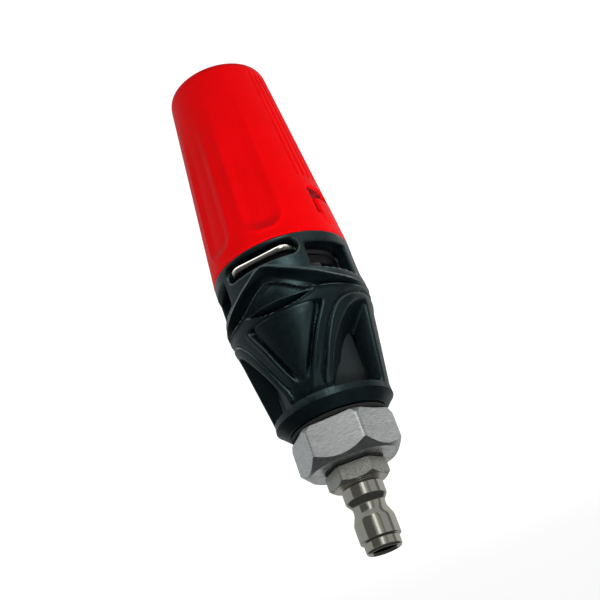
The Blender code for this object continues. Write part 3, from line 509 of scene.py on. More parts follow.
def latch_relief(angle, z):
    """Pocket, slits and tongue: box distances in arc length across and height along."""
    across = cover_radius(z) * (math.pi / 2 - folded(angle))
    pocket = soft_min(POCKET_HALF - across, soft_min(z - POCKET_START, POCKET_END - z, 0.5), 0.9)
    slit = soft_min(soft_min(across - SLIT_INNER, POCKET_HALF - across, 0.4), SLIT_END - z, 1.0)
    slit = np.minimum(slit, z - POCKET_START - 1.0)
    cut = np.maximum(ease(pocket, 0.0, 0.45), ease(slit, 0.0, 0.40))
    tongue = soft_min(soft_min(SLIT_INNER - across, z - POCKET_END, 0.3), (TONGUE_END - z) / 3, 0.6)
    return TONGUE_RISE * ease(tongue, 0.0, 0.6) - POCKET_DEPTH * cut


# %% Build the cover
COVER_COLUMNS = 360
MOUTH_RADIUS = 11.0
MOUTH_CHAMFER = 0.7
FRONT_WALL = 3.4
SOCKET_DEPTH = 6.2
SOCKET_WALL = 2.1
SOCKET_RADIUS = COVER_RIM_RADIUS + COVER_FLARE - SOCKET_WALL
SKIN_STEP = 0.42  # longest side of a face along the skin
INNER_STEP = 8.0  # and on the plain inside

socket_start = COVER_TOP - SOCKET_DEPTH
cover_corners = [
    (cover_radius(COVER_TOP), COVER_TOP),
    (COVER_RIM_RADIUS, 0.0),
    (MOUTH_RADIUS + MOUTH_CHAMFER, 0.0),
    (MOUTH_RADIUS, MOUTH_CHAMFER),
    (MOUTH_RADIUS, FRONT_WALL),
    (cover_radius(FRONT_WALL) - COVER_WALL, FRONT_WALL),
    (cover_radius(socket_start) - COVER_WALL, socket_start),
    (SOCKET_RADIUS, socket_start),
    (SOCKET_RADIUS, COVER_TOP),
]
cover_outline = soften(cover_corners, [0.35, 2.9, 0.2, 0.2, 0.3, 0.3, 0.1, 0.1, 0.3], steps=8)
halfway = (cover_outline + np.roll(cover_outline, -1, 0)) / 2
on_skin = halfway[:, 0] > cover_radius(halfway[:, 1]) - COVER_WALL / 2
cover_outline = refine(cover_outline, np.where(on_skin, SKIN_STEP, INNER_STEP))
angles = evenly_round(COVER_COLUMNS)
radius, z = cover_outline[:, :1], cover_outline[:, 1:]
relief = sum(shape(angles - COVER_TURN, z) for shape in (flute_relief, panel_relief, latch_relief))
skin = ease(radius, cover_radius(z) - COVER_WALL * 0.7, cover_radius(z) - COVER_WALL * 0.3)
skin = skin * ease(z, 1.5, 5.0) * (1 - ease(z, COVER_TOP - 2.0, COVER_TOP - 0.5))
cover_points = round_the_axis(
    np.stack(np.broadcast_arrays(radius + relief * skin, z), -1), angles
)
cover = add_piece(
    "front_cover_shell", cover_points, ring_quads(*cover_points.shape[:2]),
    red_plastic, "guard", "red_plastic", replaces=("front_cover",),
)

# %% Painted shade in the pocket
PAINTED_SHADE_SHARE = 0.75  # a face this far down the pocket counts as its bottom
SKIN_SLACK = 0.15  # a face deeper than the pocket by more than this is inside the cover
RIM_BAND = 2.0


def in_pocket(middle):
    """True where a face of the skin lies at the bottom of the pocket or of a slit."""
    depth = cover_radius(middle[:, 2]) - np.hypot(middle[:, 0], middle[:, 1])
    turn = np.arctan2(middle[:, 0], -middle[:, 1]) - COVER_TURN
    cut = latch_relief(turn, middle[:, 2]) < -PAINTED_SHADE_SHARE * POCKET_DEPTH
    return cut & (depth < POCKET_DEPTH + SKIN_SLACK) & (middle[:, 2] < COVER_TOP - RIM_BAND)


# The bottom of the pocket and of each slit gets the red with painted shade.
give_faces(cover, pocket_painted_shade_red, in_pocket)

# %% [markdown]
# ## The black rear sleeve
#
# The sleeve is the hardest piece: a belted lattice with a slot for the clip, square windows,
# tall arched windows, a deep chevron channel and a raised triangular pad between two ribs. The
# design has the openings and leaves the skin between them smooth, so the chevron, the grooves
# and the pad are made here. The skin is again a grid with a height, and each opening is a
# distance that is positive inside the hole. Edges are rounded by letting the skin fall away in
# a quarter circle near each hole.

# %% Openings of the sleeve
SLOT_HALF = 12.4
SLOT_RADIUS = 2.5
WINDOW_LAST = math.radians(81.0)
UPPER_FIRST = math.radians(38.5)
UPPER_START = SLEEVE_BOTTOM + 3.8
UPPER_END = SLEEVE_BOTTOM + 11.6
UPPER_DROP = 2.2
ARCH_FIRST = math.radians(22.5)
ARCH_FOOT = SLEEVE_BOTTOM + 46.6
ARCH_RISE = 24.0
ARCH_POWER = 2.2

body_profile = [
    (0.0, 21.35), (8.8, 21.37), (12.3, 21.50), (14.3, 21.88), (16.0, 22.00), (17.6, 21.86),
    (19.0, 21.64), (21.4, 21.66), (24.5, 21.10), (31.0, 20.12), (39.0, 18.88), (48.0, 17.49),
]
profile_z = SLEEVE_BOTTOM + np.array([place for place, _ in body_profile])
profile_r = np.array([radius for _, radius in body_profile])


def sleeve_radius(z):
    """Radius of the belted body at a height, read from its profile and smoothed over 0.8 mm."""
    shifts = np.array([-0.8, -0.4, 0.0, 0.4, 0.8])
    return np.mean([np.interp(z + shift, profile_z, profile_r) for shift in shifts], axis=0)


def arch_height(angle):
    """Edge of the arched window: foot - rise * (1 - (1 - x)^p), x the share of its span."""
    share = np.clip((angle - ARCH_FIRST) / (WINDOW_LAST - ARCH_FIRST), 0.0, 1.0)
    return ARCH_FOOT - ARCH_RISE * (1 - (1 - share) ** ARCH_POWER)


def openings(angle, z):
    """Distance inside the slot, the upper windows and the arched windows, one array each."""
    turn = folded(angle)
    radius = sleeve_radius(z)
    across = radius * turn
    slot = SLOT_RADIUS - np.hypot((across - (SLOT_HALF - SLOT_RADIUS)).clip(0), z - WIRE_Z)
    drop = UPPER_DROP * (turn - UPPER_FIRST) / (WINDOW_LAST - UPPER_FIRST)
    sides = soft_min(across - radius * UPPER_FIRST, radius * (WINDOW_LAST - turn), 0.8)
    upper = soft_min(sides, soft_min(z - UPPER_START, UPPER_END + drop - z, 0.8), 0.8)
    under = off_curve(z, arch_height, turn, radius)
    arch = soft_min(soft_min(under, radius * (WINDOW_LAST - turn), 1.4), ARCH_FOOT - z, 0.9)
    return slot, upper, arch


# %% Relief of the sleeve's skin
tip_ridge = through([(0, 76.3), (14.5, 78.7), (34.5, 82.0), (50, 84.3), (75, 85.6), (90, 85.9)])
plug_ridge = through([(0, 80.9), (8, 82.2), (24.5, 85.9), (34, 86.7), (54.5, 87.0), (90, 87.0)])
thin_groove = through(
    [(14.0, 115.0), (17, 112.0), (22, 108.5), (30, 102.3),
     (39.5, 96.0), (49, 91.9), (60, 89.8), (80, 88.4)]
)
VALLEY_DEPTH = 3.4
VALLEY_SLOPE = 3.0
LIP_HEIGHT = 0.34
FRONT_LEAN = math.radians(2.8)
FACET_HALF = math.radians(26.0)
LENS_TOP = 87.5
LENS_THICK = 2.9
LENS_HALF = math.radians(29.0)
LENS_DEPTH = 2.3
LENS_SLOPE = 2.3
PAD_TOP = 91.3
PAD_TIP = 111.6
PAD_LEAN = math.atan2(9.9, PAD_TIP - PAD_TOP)
CHANNEL_WIDTH = 1.75
CHANNEL_SPREAD = 0.7
CHANNEL_DEPTH = 1.5
THIN_DEPTH = 0.75


def valley_relief(turn, z, radius):
    """Channel between two ridges: a slope 1 - (1 - s)^2 from one, a steep wall at the other."""
    from_tip = off_curve(z, tip_ridge, turn, radius)
    from_plug = -off_curve(z, plug_ridge, turn, radius)
    slope = 1 - (1 - np.clip(from_tip / VALLEY_SLOPE, 0.0, 1.0)) ** 2
    fade = 1 - ease(turn, math.radians(60), math.radians(86))
    channel = VALLEY_DEPTH * slope * ease(from_tip, 0.0, 0.5) * ease(from_plug, 0.0, 0.8) * fade
    lips = bead(soft_min(from_tip, from_plug, 0.3), -0.32, 0.34) * (0.35 + 0.65 * fade)
    return LIP_HEIGHT * lips - channel


def facet_relief(turn, z, radius):
    """Flat triangle under the chevron, and the lens-shaped groove that closes it off."""
    below_ridge = off_curve(z, plug_ridge, turn, radius)
    facet = soft_min(below_ridge - 0.8, LENS_TOP - z, 0.4)
    lens_end = LENS_TOP + LENS_THICK * (1 - (turn / LENS_HALF) ** 2)
    slope = 1 - (1 - np.clip((z - LENS_TOP) / LENS_SLOPE, 0.0, 1.0)) ** 2
    lens = LENS_DEPTH * slope * ease(lens_end - z, 0.0, 0.55)
    lip = 0.22 * bead(z - lens_end, 0.30, 0.28) * (1 - ease(turn, LENS_HALF, LENS_HALF + 0.1))
    sunk = 0.60 * ease(facet, 0.0, 0.35) * (1 - ease(turn, FACET_HALF, FACET_HALF + 0.15))
    return lip - sunk - lens


def pad_relief(turn, z, radius):
    """Triangular pad inside a channel: a soft maximum of its three edge distances."""
    across = radius * turn
    side = math.cos(PAD_LEAN) * across + math.sin(PAD_LEAN) * (z - PAD_TIP)
    pad = soft_max(soft_max(side, PAD_TOP - z, 1.5), z - PAD_TIP + 1.6, 1.2)
    width = CHANNEL_WIDTH + CHANNEL_SPREAD * (1 - ease(z, PAD_TOP, PAD_TOP + 8.0))
    around = soft_max(side - width, PAD_TOP - 0.55 - z, 0.9)
    channel = soft_min(pad, -around, 0.25)
    rib = bead(around, 0.65, 0.70) * ease(z, PAD_TOP - 1.0, PAD_TOP + 2.0)
    fade = 1 - ease(z, PAD_TIP - 5.0, PAD_TIP + 0.5)
    crown = 0.15 * ease(-pad, 0.0, 2.5)
    return 0.40 * rib * (0.3 + 0.7 * fade) + crown - CHANNEL_DEPTH * ease(channel, 0.0, 0.75) * fade


def thin_relief(turn, z, radius):
    """Fine groove between the rib and the frame of the arched window."""
    beyond = off_curve(z, thin_groove, turn, radius)
    start = ease(turn, math.radians(14.0), math.radians(17.5))
    return -THIN_DEPTH * bead(beyond, 0.0, 0.48) * start * (1 - ease(z, 114.0, 116.5))


def sleeve_relief(angle, z):
    """All relief of the skin, and the quarter-circle rounding beside each opening."""
    turn = folded(angle)
    leant = folded(angle + FRONT_LEAN * (1 - ease(z, 88.0, 112.0)))
    radius = sleeve_radius(z)
    total = valley_relief(turn, z, radius) + thin_relief(turn, z, radius)
    total = total + facet_relief(leant, z, radius) + pad_relief(leant, z, radius)
    for opening, rounding in zip(openings(angle, z), (0.7, 0.5, 1.1)):
        near = np.clip(rounding + opening, 0.0, rounding)
        total = total - (rounding - np.sqrt(rounding**2 - near**2))
    return total


# %% [markdown]
# ## Cutting clean holes in a grid
#
# A grid cannot follow an arch by itself: its holes would have stairs. So each corner that lies
# next to an outline slides along its grid line onto it, at most half a step. After that no side
# of a square crosses the outline, and a square cut corner to corner leaves one triangle. The
# inner skin uses the same places, so the walls of a hole are one strip from rim to rim.

# %% Slide grid corners onto the outlines
def slide_to_outline(angle, z, opening):
    """Move corners to the nearest place where the opening's distance changes sign."""
    best = np.full(angle.shape, 0.5001)
    moved_angle, moved_z = angle.copy(), z.copy()
    for axis, shift in ((1, 1), (1, -1), (0, 1), (0, -1)):
        other = np.roll(opening, shift, axis)
        with np.errstate(divide="ignore", invalid="ignore"):
            share = np.where(opening * other < 0, opening / (opening - other), 1.0)
        closer = share < best
        best = np.where(closer, share, best)
        run = math.remainder(angle[0, 1] - angle[0, 0], math.tau) * -shift * (axis == 1)
        rise = (z[1, 0] - z[0, 0]) * -shift * (axis == 0)
        moved_angle = np.where(closer, angle + share * run, moved_angle)
        moved_z = np.where(closer, z + share * rise, moved_z)
    side = np.where(best < 0.5001, 0, np.sign(opening)).astype(int)
    return moved_angle, moved_z, side


def kept_faces(quads, side):
    """Squares wholly on the material, and the triangles left where an outline cuts one."""
    corner = side[quads]
    whole = (corner.max(1) <= 0) & (corner.min(1) < 0)
    cut = (corner.max(1) > 0) & (corner.min(1) < 0)
    squares, corners = quads[cut], corner[cut]
    solid = corners.argmin(1)
    rows = np.arange(len(squares))
    order = [(solid + step) % 4 for step in (-1, 0, 1)]
    triangles = np.stack([squares[rows, place] for place in order], 1)
    return quads[whole], triangles


def open_edges(quads, triangles, count):
    """Directed edges that no neighbour runs the other way: the rims of the holes."""
    edges = [quads[:, [k, (k + 1) % 4]] for k in range(4)]
    edges += [triangles[:, [k, (k + 1) % 3]] for k in range(3)]
    edges = np.concatenate(edges)
    keys = edges[:, 0] * count + edges[:, 1]
    back = edges[:, 1] * count + edges[:, 0]
    return edges[~np.isin(back, keys)]


# %% The sleeve's inner skin
FUNNEL = 7.0  # how much higher an arched window is inside than outside
FOOT_LEDGE = SLEEVE_BOTTOM + 47.0
INNER_FRONT = 18.0
INNER_WAIST_Z = SLEEVE_BOTTOM + 22.2
INNER_CONE = 6.0
INNER_TUBE = 13.9


def bore_radius(z):
    """Radius of the inner skin: wide in front, then a cone down to a straight tube."""
    return np.interp(z, [INNER_WAIST_Z, INNER_WAIST_Z + INNER_CONE], [INNER_FRONT, INNER_TUBE])


def funnel_height(turn, z):
    """Height on the inner skin: the arch's edge moves up by FUNNEL, the rest stretches to fit."""
    edge = arch_height(turn)
    moved = edge + FUNNEL * np.minimum(1.0, (FOOT_LEDGE - edge) / (2.2 * FUNNEL))
    near = ease(turn, ARCH_FIRST - 0.2, ARCH_FIRST + 0.1)
    start = SLEEVE_BOTTOM + 13.0
    below = z + (moved - edge) * np.clip((z - start) / (edge - start), 0.0, 1.0)
    above = FOOT_LEDGE - (FOOT_LEDGE - z) * (FOOT_LEDGE - moved) / (FOOT_LEDGE - edge)
    return z + near * (np.where(z < edge, below, above) - z)


# %% Build the sleeve
SLEEVE_COLUMNS = 400
SLEEVE_ROWS = 144
FOOT_BORE = 12.5
FOOT_RIM = SLEEVE_TOP - 2.5
THINNEST_WALL = 0.7  # least plastic left under the relief
EDGE_BAND = 1.2  # strip beside an opening where the rounding alone shapes the edge
CORNER_ROWS = 6  # rows that soften makes at each corner

grid_z, grid_angle = np.meshgrid(
    np.linspace(SLEEVE_BOTTOM + 0.35, FOOT_LEDGE, SLEEVE_ROWS), evenly_round(SLEEVE_COLUMNS),
    indexing="ij",
)
hole = np.maximum.reduce(openings(grid_angle, grid_z))
hole_angle, hole_z, side = slide_to_outline(grid_angle, grid_z, hole)
outer_r = sleeve_radius(hole_z) + sleeve_relief(hole_angle, hole_z)
inner_z = funnel_height(folded(hole_angle), hole_z)
inner_r = bore_radius(inner_z)
bore_beneath = bore_radius(hole_z)
thick_enough = soft_max(outer_r, bore_beneath + THINNEST_WALL, 0.25)
outer_r = np.where(hole < -EDGE_BAND, thick_enough, outer_r)
walls_left = (outer_r - bore_beneath)[side < 0]
print("thinnest wall of the sleeve:", round(float(walls_left.min()), 2), "mm")

# The first and last corner of each outline only aim the rounding, so their rows are dropped.
foot = soften(
    [(20.0, FOOT_LEDGE), (17.15, FOOT_RIM), (14.8, SLEEVE_TOP), (FOOT_BORE, SLEEVE_TOP),
     (FOOT_BORE, FOOT_LEDGE + 0.3), (16.0, FOOT_LEDGE + 0.3)],
    [0.1, 0.5, 0.25, 0.2, 0.2, 0.1],
)[CORNER_ROWS:-CORNER_ROWS]
front = soften(
    [(10.0, SLEEVE_BOTTOM + 0.2), (17.2, SLEEVE_BOTTOM + 0.2), (17.2, SPIGOT_START),
     (19.0, SPIGOT_START), (19.0, SLEEVE_BOTTOM), (21.35, SLEEVE_BOTTOM), (21.35, 75.0)],
    [0.1, 0.1, 0.3, 0.3, 0.1, 0.25, 0.1],
)[CORNER_ROWS:-CORNER_ROWS]
sheets = [
    round_the_axis(np.stack([outer_r, hole_z], -1), hole_angle),
    round_the_axis(foot, evenly_round(SLEEVE_COLUMNS)),
    round_the_axis(np.stack([inner_r, inner_z], -1)[::-1], hole_angle[::-1]),
    round_the_axis(front, evenly_round(SLEEVE_COLUMNS)),
]
sleeve_points = np.concatenate(sheets)
inner_start = SLEEVE_ROWS + len(foot)
sides = np.concatenate(
    [side, np.full((len(foot), SLEEVE_COLUMNS), -1), side[::-1],
     np.full((len(front), SLEEVE_COLUMNS), -1)]
)
total = sleeve_points.shape[0] * SLEEVE_COLUMNS
quads, triangles = kept_faces(ring_quads(*sleeve_points.shape[:2]), sides.ravel())
rims = open_edges(quads, triangles, total)
rims = rims[(rims < SLEEVE_ROWS * SLEEVE_COLUMNS).all(1)]
row, column = np.divmod(rims, SLEEVE_COLUMNS)
partner = (inner_start + SLEEVE_ROWS - 1 - row) * SLEEVE_COLUMNS + column
walls = np.stack([rims[:, 1], rims[:, 0], partner[:, 0], partner[:, 1]], 1)
quads = np.concatenate([quads, walls])
used, packed = np.unique(np.concatenate([quads.ravel(), triangles.ravel()]), return_inverse=True)
packed = packed.ravel()
add_piece(
    "rear_sleeve_lattice", sleeve_points.reshape(-1, 3)[used], packed[: quads.size].reshape(-1, 4),
    black_plastic, "guard", "black_plastic", replaces=("rear_sleeve",),
    triangles=packed[quads.size :].reshape(-1, 3), sharp=28,
)

# %% [markdown]
# ## Lugs behind the square windows
#
# Inside each upper window a small grey lug shows: it centres the sleeve on the housing. Each is
# a block that follows the round of the sleeve, so it is built in angle, radius and height, and
# its corners are pulled in by a superellipse to give them a moulded softness.

# %% Build the lugs
def lug_points(first, last, radii, heights, rows=24, columns=24):
    """Closed block: a superellipsoid of power 6 mapped to angle, radius and height."""
    across = np.linspace(-math.pi / 2, math.pi / 2, rows)[:, None]
    around = evenly_round(columns)[None, :]

    def squared(value):
        return np.sign(value) * np.abs(value) ** 0.3

    u = squared(np.cos(across)) * squared(np.cos(around))
    v = squared(np.cos(across)) * squared(np.sin(around))
    w = squared(np.sin(across)) + np.zeros_like(around)
    angle = (first + last) / 2 + u * (last - first) / 2
    radius = (radii[0] + radii[1]) / 2 + v * (radii[1] - radii[0]) / 2
    height = (heights[0] + heights[1]) / 2 + w * (heights[1] - heights[0]) / 2
    return np.stack([radius * np.sin(angle), -radius * np.cos(angle), height], -1)


lug_sheets = []
lug_faces = []
for centre in (0.0, math.pi):
    for hand in (-1, 1):
        ends = sorted(centre + hand * math.radians(degrees) for degrees in (41.5, 53.0))
        points = lug_points(*ends, (16.9, 18.3), (77.6, 86.0))
        quads = ring_quads(*points.shape[:2])[: (points.shape[0] - 1) * points.shape[1]]
        lug_faces.append(quads + sum(len(sheet) for sheet in lug_sheets))
        lug_sheets.append(points.reshape(-1, 3))
lugs = add_piece(
    "sleeve_lugs", np.concatenate(lug_sheets), np.concatenate(lug_faces),
    lug_plastic, "guard", "black_plastic",
)

# %% [markdown]
# ## The spring clip
#
# A piece of round spring wire holds sleeve and cover on the housing. Its straight bridge lies in
# the slot, and its legs ride in a round groove. A circle carried along the centre line makes it,
# with its frame taken from the flat path, so the wire never twists.

# %% Build the clip
WIRE_RADIUS = 0.95
BRIDGE_HALF = 8.9
BRIDGE_Y = -20.0
BEND_RADIUS = 2.4
LEG_RADIUS = 15.85
LEG_FIRST = math.radians(42.0)
LEG_LAST = math.radians(150.0)


def half_route():
    """Bridge, bend and leg of the right half, seen from above, as (x, y) points."""
    bridge = np.stack([np.linspace(0, BRIDGE_HALF - BEND_RADIUS, 10), np.full(10, BRIDGE_Y)], 1)
    bend = np.linspace(-math.pi / 2, math.radians(15), 14)[1:]
    centre = np.array([BRIDGE_HALF - BEND_RADIUS, BRIDGE_Y + BEND_RADIUS])
    bend = centre + BEND_RADIUS * np.stack([np.cos(bend), np.sin(bend)], 1)
    turn = np.linspace(LEG_FIRST, LEG_LAST, 60)
    leg = LEG_RADIUS * np.stack([np.sin(turn), -np.cos(turn)], 1)
    return np.concatenate([bridge, bend, leg])


def relaxed(route, rounds):
    """Take out kinks: each round moves every inner point halfway to its neighbours' mean."""
    for _ in range(rounds):
        route[1:-1] = route[1:-1] / 2 + (route[:-2] + route[2:]) / 4
    return route


def evenly_spaced(route, step):
    """The same path with points every `step`, by arc length."""
    length = np.concatenate([[0], np.cumsum(np.linalg.norm(np.diff(route, axis=0), axis=1))])
    at = np.linspace(0, length[-1], int(length[-1] / step))
    return np.stack([np.interp(at, length, route[:, k]) for k in range(2)], 1)


half = half_route()
route = np.concatenate([half[:0:-1] * [-1, 1], half])
route = relaxed(evenly_spaced(route, 0.35), 12)
along = np.gradient(route, axis=0)
along /= np.linalg.norm(along, axis=1, keepdims=True)
outward = np.stack([along[:, 1], -along[:, 0]], 1)
tip = np.array([0.05, 0.6, 0.88])  # the wire's ends are rounded off over three rows
size = np.concatenate([tip, np.ones(len(route) - 2 * len(tip)), tip[::-1]])[:, None]
section = evenly_round(24)[None, :]
clip_points = np.stack(
    [
        route[:, :1] + WIRE_RADIUS * size * np.cos(section) * outward[:, :1],
        route[:, 1:] + WIRE_RADIUS * size * np.cos(section) * outward[:, 1:],
        WIRE_Z + WIRE_RADIUS * size * np.sin(section),
    ],
    -1,
)
clip = add_piece(
    "spring_clip", clip_points, ring_quads(*clip_points.shape[:2]),
    steel_wire, "guard", "steel_wire", replaces=("retaining_clip",),
)


# %% Painted shade on the clip's legs
PAINTED_SHADE_RADIUS = LEG_RADIUS + 1.9  # the legs lie inside it and the bridge outside


def on_legs(middle):
    """True where a face of the wire lies near the housing."""
    return np.hypot(middle[:, 0], middle[:, 1]) < PAINTED_SHADE_RADIUS


# The legs inside the sleeve get near-black painted shade; the bridge in the slot stays steel.
give_faces(clip, black_painted_shade, on_legs)

# %% [markdown]
# ## Hexagons with true chamfers
#
# A nut starts as a turned bar with a cone at each end, and milling the six flats cuts that cone
# in the curved lines that every nut shows. The grid follows those lines: for each direction the
# hexagon's radius says how far up the cone reaches, so the crease is a row of the mesh.

# %% Radius of a hexagon with rounded corners
def hexagon_columns(per_flat, turn):
    """Angles packed towards the corners: 30 degrees times the sine of an even share."""
    share = (np.arange(per_flat) + 0.5) / per_flat * 2 - 1
    flat = math.pi / 6 * np.sin(math.pi / 2 * share)
    return np.concatenate([turn + k * math.pi / 3 + flat for k in range(6)])


def hexagon_radius(angles, turn, apothem, rounding):
    """Apothem / cos on a flat; near a corner the far root of a circle of the rounding."""
    local = np.abs((angles - turn + math.pi / 6) % (math.pi / 3) - math.pi / 6)
    centre = (apothem - rounding) * np.array([1.0, math.tan(math.pi / 6)])
    ahead = np.cos(local) * centre[0] + np.sin(local) * centre[1]
    aside = np.cos(local) * centre[1] - np.sin(local) * centre[0]
    corner = ahead + np.sqrt((rounding**2 - aside**2).clip(0))
    return np.where(apothem * np.tan(local) < centre[1], apothem / np.cos(local), corner)


def stacked(corners, columns):
    """Corners whose entries may be plain numbers or one number per column, as (K, N, 2)."""
    filled = [
        [np.broadcast_to(np.asarray(value, float), (columns,)) for value in corner]
        for corner in corners
    ]
    return np.moveaxis(np.array(filled), 1, -1)


# %% Build the inlet nut
NUT_APOTHEM = 13.5
NUT_TURN = math.radians(-6.5)
NUT_CORNER_ROUND = 1.1
NUT_FRONT_FACE = 14.69
NUT_REAR_FACE = 12.94
FRONT_CONE = 0.45
REAR_CONE = 0.883
NUT_SPIGOT = 8.9
NUT_BORE = 4.2
SEAL_POCKET = 8.6
THREAD_BORE = 6.6
FACE_STEP = 0.12  # least chamfer left at the front face
SPIGOT_END = NUT_BOTTOM - 16.5
THREAD_FLOOR = NUT_TOP - 11.3
SEAL_FLOOR = NUT_TOP - 1.0

nut_angles = hexagon_columns(36, NUT_TURN)
hexagon = hexagon_radius(nut_angles, NUT_TURN, NUT_APOTHEM, NUT_CORNER_ROUND)
front_meet = NUT_BOTTOM + (hexagon - NUT_FRONT_FACE).clip(FACE_STEP) / FRONT_CONE
rear_meet = NUT_TOP - (hexagon - NUT_REAR_FACE) / REAR_CONE
ring_z = NUT_BOTTOM - 12.0
nut_corners = [
    (NUT_REAR_FACE, NUT_TOP),
    (hexagon, rear_meet),
    (hexagon, front_meet),
    (np.minimum(hexagon - FACE_STEP, NUT_FRONT_FACE), NUT_BOTTOM),
    (NUT_SPIGOT, NUT_BOTTOM),
    (NUT_SPIGOT, ring_z + 0.9),
    (NUT_SPIGOT - 1.5, ring_z + 0.9),
    (NUT_SPIGOT - 1.5, ring_z - 0.9),
    (NUT_SPIGOT, ring_z - 0.9),
    (NUT_SPIGOT, SPIGOT_END),
    (NUT_BORE, SPIGOT_END),
    (NUT_BORE, THREAD_FLOOR),
    (THREAD_BORE, THREAD_FLOOR),
    (THREAD_BORE, SEAL_FLOOR),
    (SEAL_POCKET, SEAL_FLOOR),
    (SEAL_POCKET, NUT_TOP),
]
nut_cuts = [0.14, 0.16, 0.10, 0.08] + [0.1] * 10 + [0.1, 0.2]
nut_outline = soften(stacked(nut_corners, len(nut_angles)), nut_cuts)
nut_points = round_the_axis(nut_outline, nut_angles)
add_piece(
    "inlet_nut_hexagon", nut_points, ring_quads(*nut_points.shape[:2]),
    aluminium, "pressure_body", "aluminium", replaces=("inlet_nut",),
)

# %% [markdown]
# ## The quick plug
#
# A lance snaps onto this plug. Behind its small hexagon come a shank, a waist where the balls of
# the coupling grip, a plain barrel and a narrow nose. It could be a lathe outline with a separate
# hexagon, but one outline whose first corners follow the hexagon gives one closed piece.

# %% Build the quick plug
PLUG_APOTHEM = 7.85
PLUG_TURN = math.radians(-14.5)
PLUG_BOTTOM = NUT_TOP + 0.6
HEX_TOP = PLUG_BOTTOM + 5.0
PLUG_BORE = 3.8
PLUG_THREAD = 6.3
PLUG_FACE = 8.65  # where the chamfer of the plug's front face starts
THREAD_END = PLUG_BOTTOM - 11.0

plug_angles = hexagon_columns(30, PLUG_TURN)
hexagon = hexagon_radius(plug_angles, PLUG_TURN, PLUG_APOTHEM, 0.45)
plug_corners = [
    (hexagon, HEX_TOP - (hexagon - 7.75) * 0.75),
    (hexagon, PLUG_BOTTOM + (hexagon - PLUG_FACE).clip(0.1)),
    (np.minimum(hexagon - 0.1, PLUG_FACE), PLUG_BOTTOM),
    (PLUG_THREAD, PLUG_BOTTOM),
    (PLUG_THREAD, THREAD_END),
    (PLUG_BORE, THREAD_END),
    (PLUG_BORE, PLUG_TOP - 0.6),
    (PLUG_BORE + 0.6, PLUG_TOP),
    (4.75, PLUG_TOP),
    (5.15, PLUG_TOP - 0.6),
    (5.15, HEX_TOP + 16.4),
    (5.90, HEX_TOP + 16.0),
    (5.90, HEX_TOP + 10.6),
    (4.70, HEX_TOP + 7.8),
    (4.70, HEX_TOP + 6.1),
    (6.00, HEX_TOP + 4.4),
    (6.00, HEX_TOP + 0.9),
    (5.60, HEX_TOP + 0.5),
    (5.60, HEX_TOP),
    (7.55, HEX_TOP),
]
plug_cuts = [
    0.15, 0.10, 0.10, 0.1, 0.1, 0.1, 0.1, 0.2, 0.2, 0.3,
    0.15, 0.15, 0.6, 0.9, 0.5, 0.45, 0.15, 0.1, 0.1, 0.12,
]
plug_outline = soften(stacked(plug_corners, len(plug_angles)), plug_cuts)
plug_points = round_the_axis(plug_outline, plug_angles)
plug = add_piece(
    "quick_plug_body", plug_points, ring_quads(*plug_points.shape[:2]),
    nickel, "pressure_body", "nickel_plate", replaces=("quick_plug",),
)
give_faces(plug, rough_nickel, lambda middle: middle[:, 2] < HEX_TOP - 0.05)

# %% [markdown]
# ## Turned parts seen through the windows and in the mouth
#
# The dark pressure housing shows through every window, and the brass cap with its spray cone is
# what a user sees in the mouth. Both are plain turned outlines. The parts that stay hidden keep
# the frame's own solids and only get a finish.

# %% Build the housing, the cap and the rings
HOUSING_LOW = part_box("pressure_housing")[0].z / MM
HOUSING_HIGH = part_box("pressure_housing")[1].z / MM
CAP_LOW, CAP_HIGH = (corner.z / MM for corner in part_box("outlet_cap"))
COVER_RING_Z = (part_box("cover_o_ring")[0].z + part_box("cover_o_ring")[1].z) / 2 / MM
CAP_RING_Z = (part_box("cap_o_ring")[0].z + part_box("cap_o_ring")[1].z) / 2 / MM
CHAMBER_END = COVER_TOP + 23.3
HOUSING_STEP = SLEEVE_TOP - 5.2
COLLAR_LOW = COVER_TOP + 1.1
COLLAR_HIGH = COVER_TOP + 8.6
CHAMBER, TAIL_BORE = 11.0, 9.2
TAIL, TUBE, COLLAR = 12.2, 13.3, 16.6
CLIP_FLOOR, CLIP_HALF = 14.6, 1.55  # groove that the clip's legs ride in
RING_FLOOR, RING_HALF = 12.45, 1.3  # groove of the cover's ring

housing_corners = [
    (TAIL, HOUSING_HIGH), (TAIL, HOUSING_STEP), (TUBE, HOUSING_STEP),
    (TUBE, COLLAR_HIGH), (COLLAR, COLLAR_HIGH), (COLLAR, WIRE_Z + CLIP_HALF),
    (CLIP_FLOOR, WIRE_Z + CLIP_HALF), (CLIP_FLOOR, WIRE_Z - CLIP_HALF),
    (COLLAR, WIRE_Z - CLIP_HALF), (COLLAR, COLLAR_LOW), (TUBE, COLLAR_LOW),
    (TUBE, COVER_RING_Z + RING_HALF), (RING_FLOOR, COVER_RING_Z + RING_HALF),
    (RING_FLOOR, COVER_RING_Z - RING_HALF), (TUBE, COVER_RING_Z - RING_HALF),
    (TUBE, HOUSING_LOW), (CHAMBER, HOUSING_LOW), (CHAMBER, CHAMBER_END),
    (TAIL_BORE, CHAMBER_END), (TAIL_BORE, HOUSING_HIGH),
]
housing_outline = soften(housing_corners, 0.25)
housing = turn_piece(
    "pressure_housing_tube", housing_outline, 120,
    dark_metal, "pressure_body", "dark_anodised", replaces=("pressure_housing",),
)
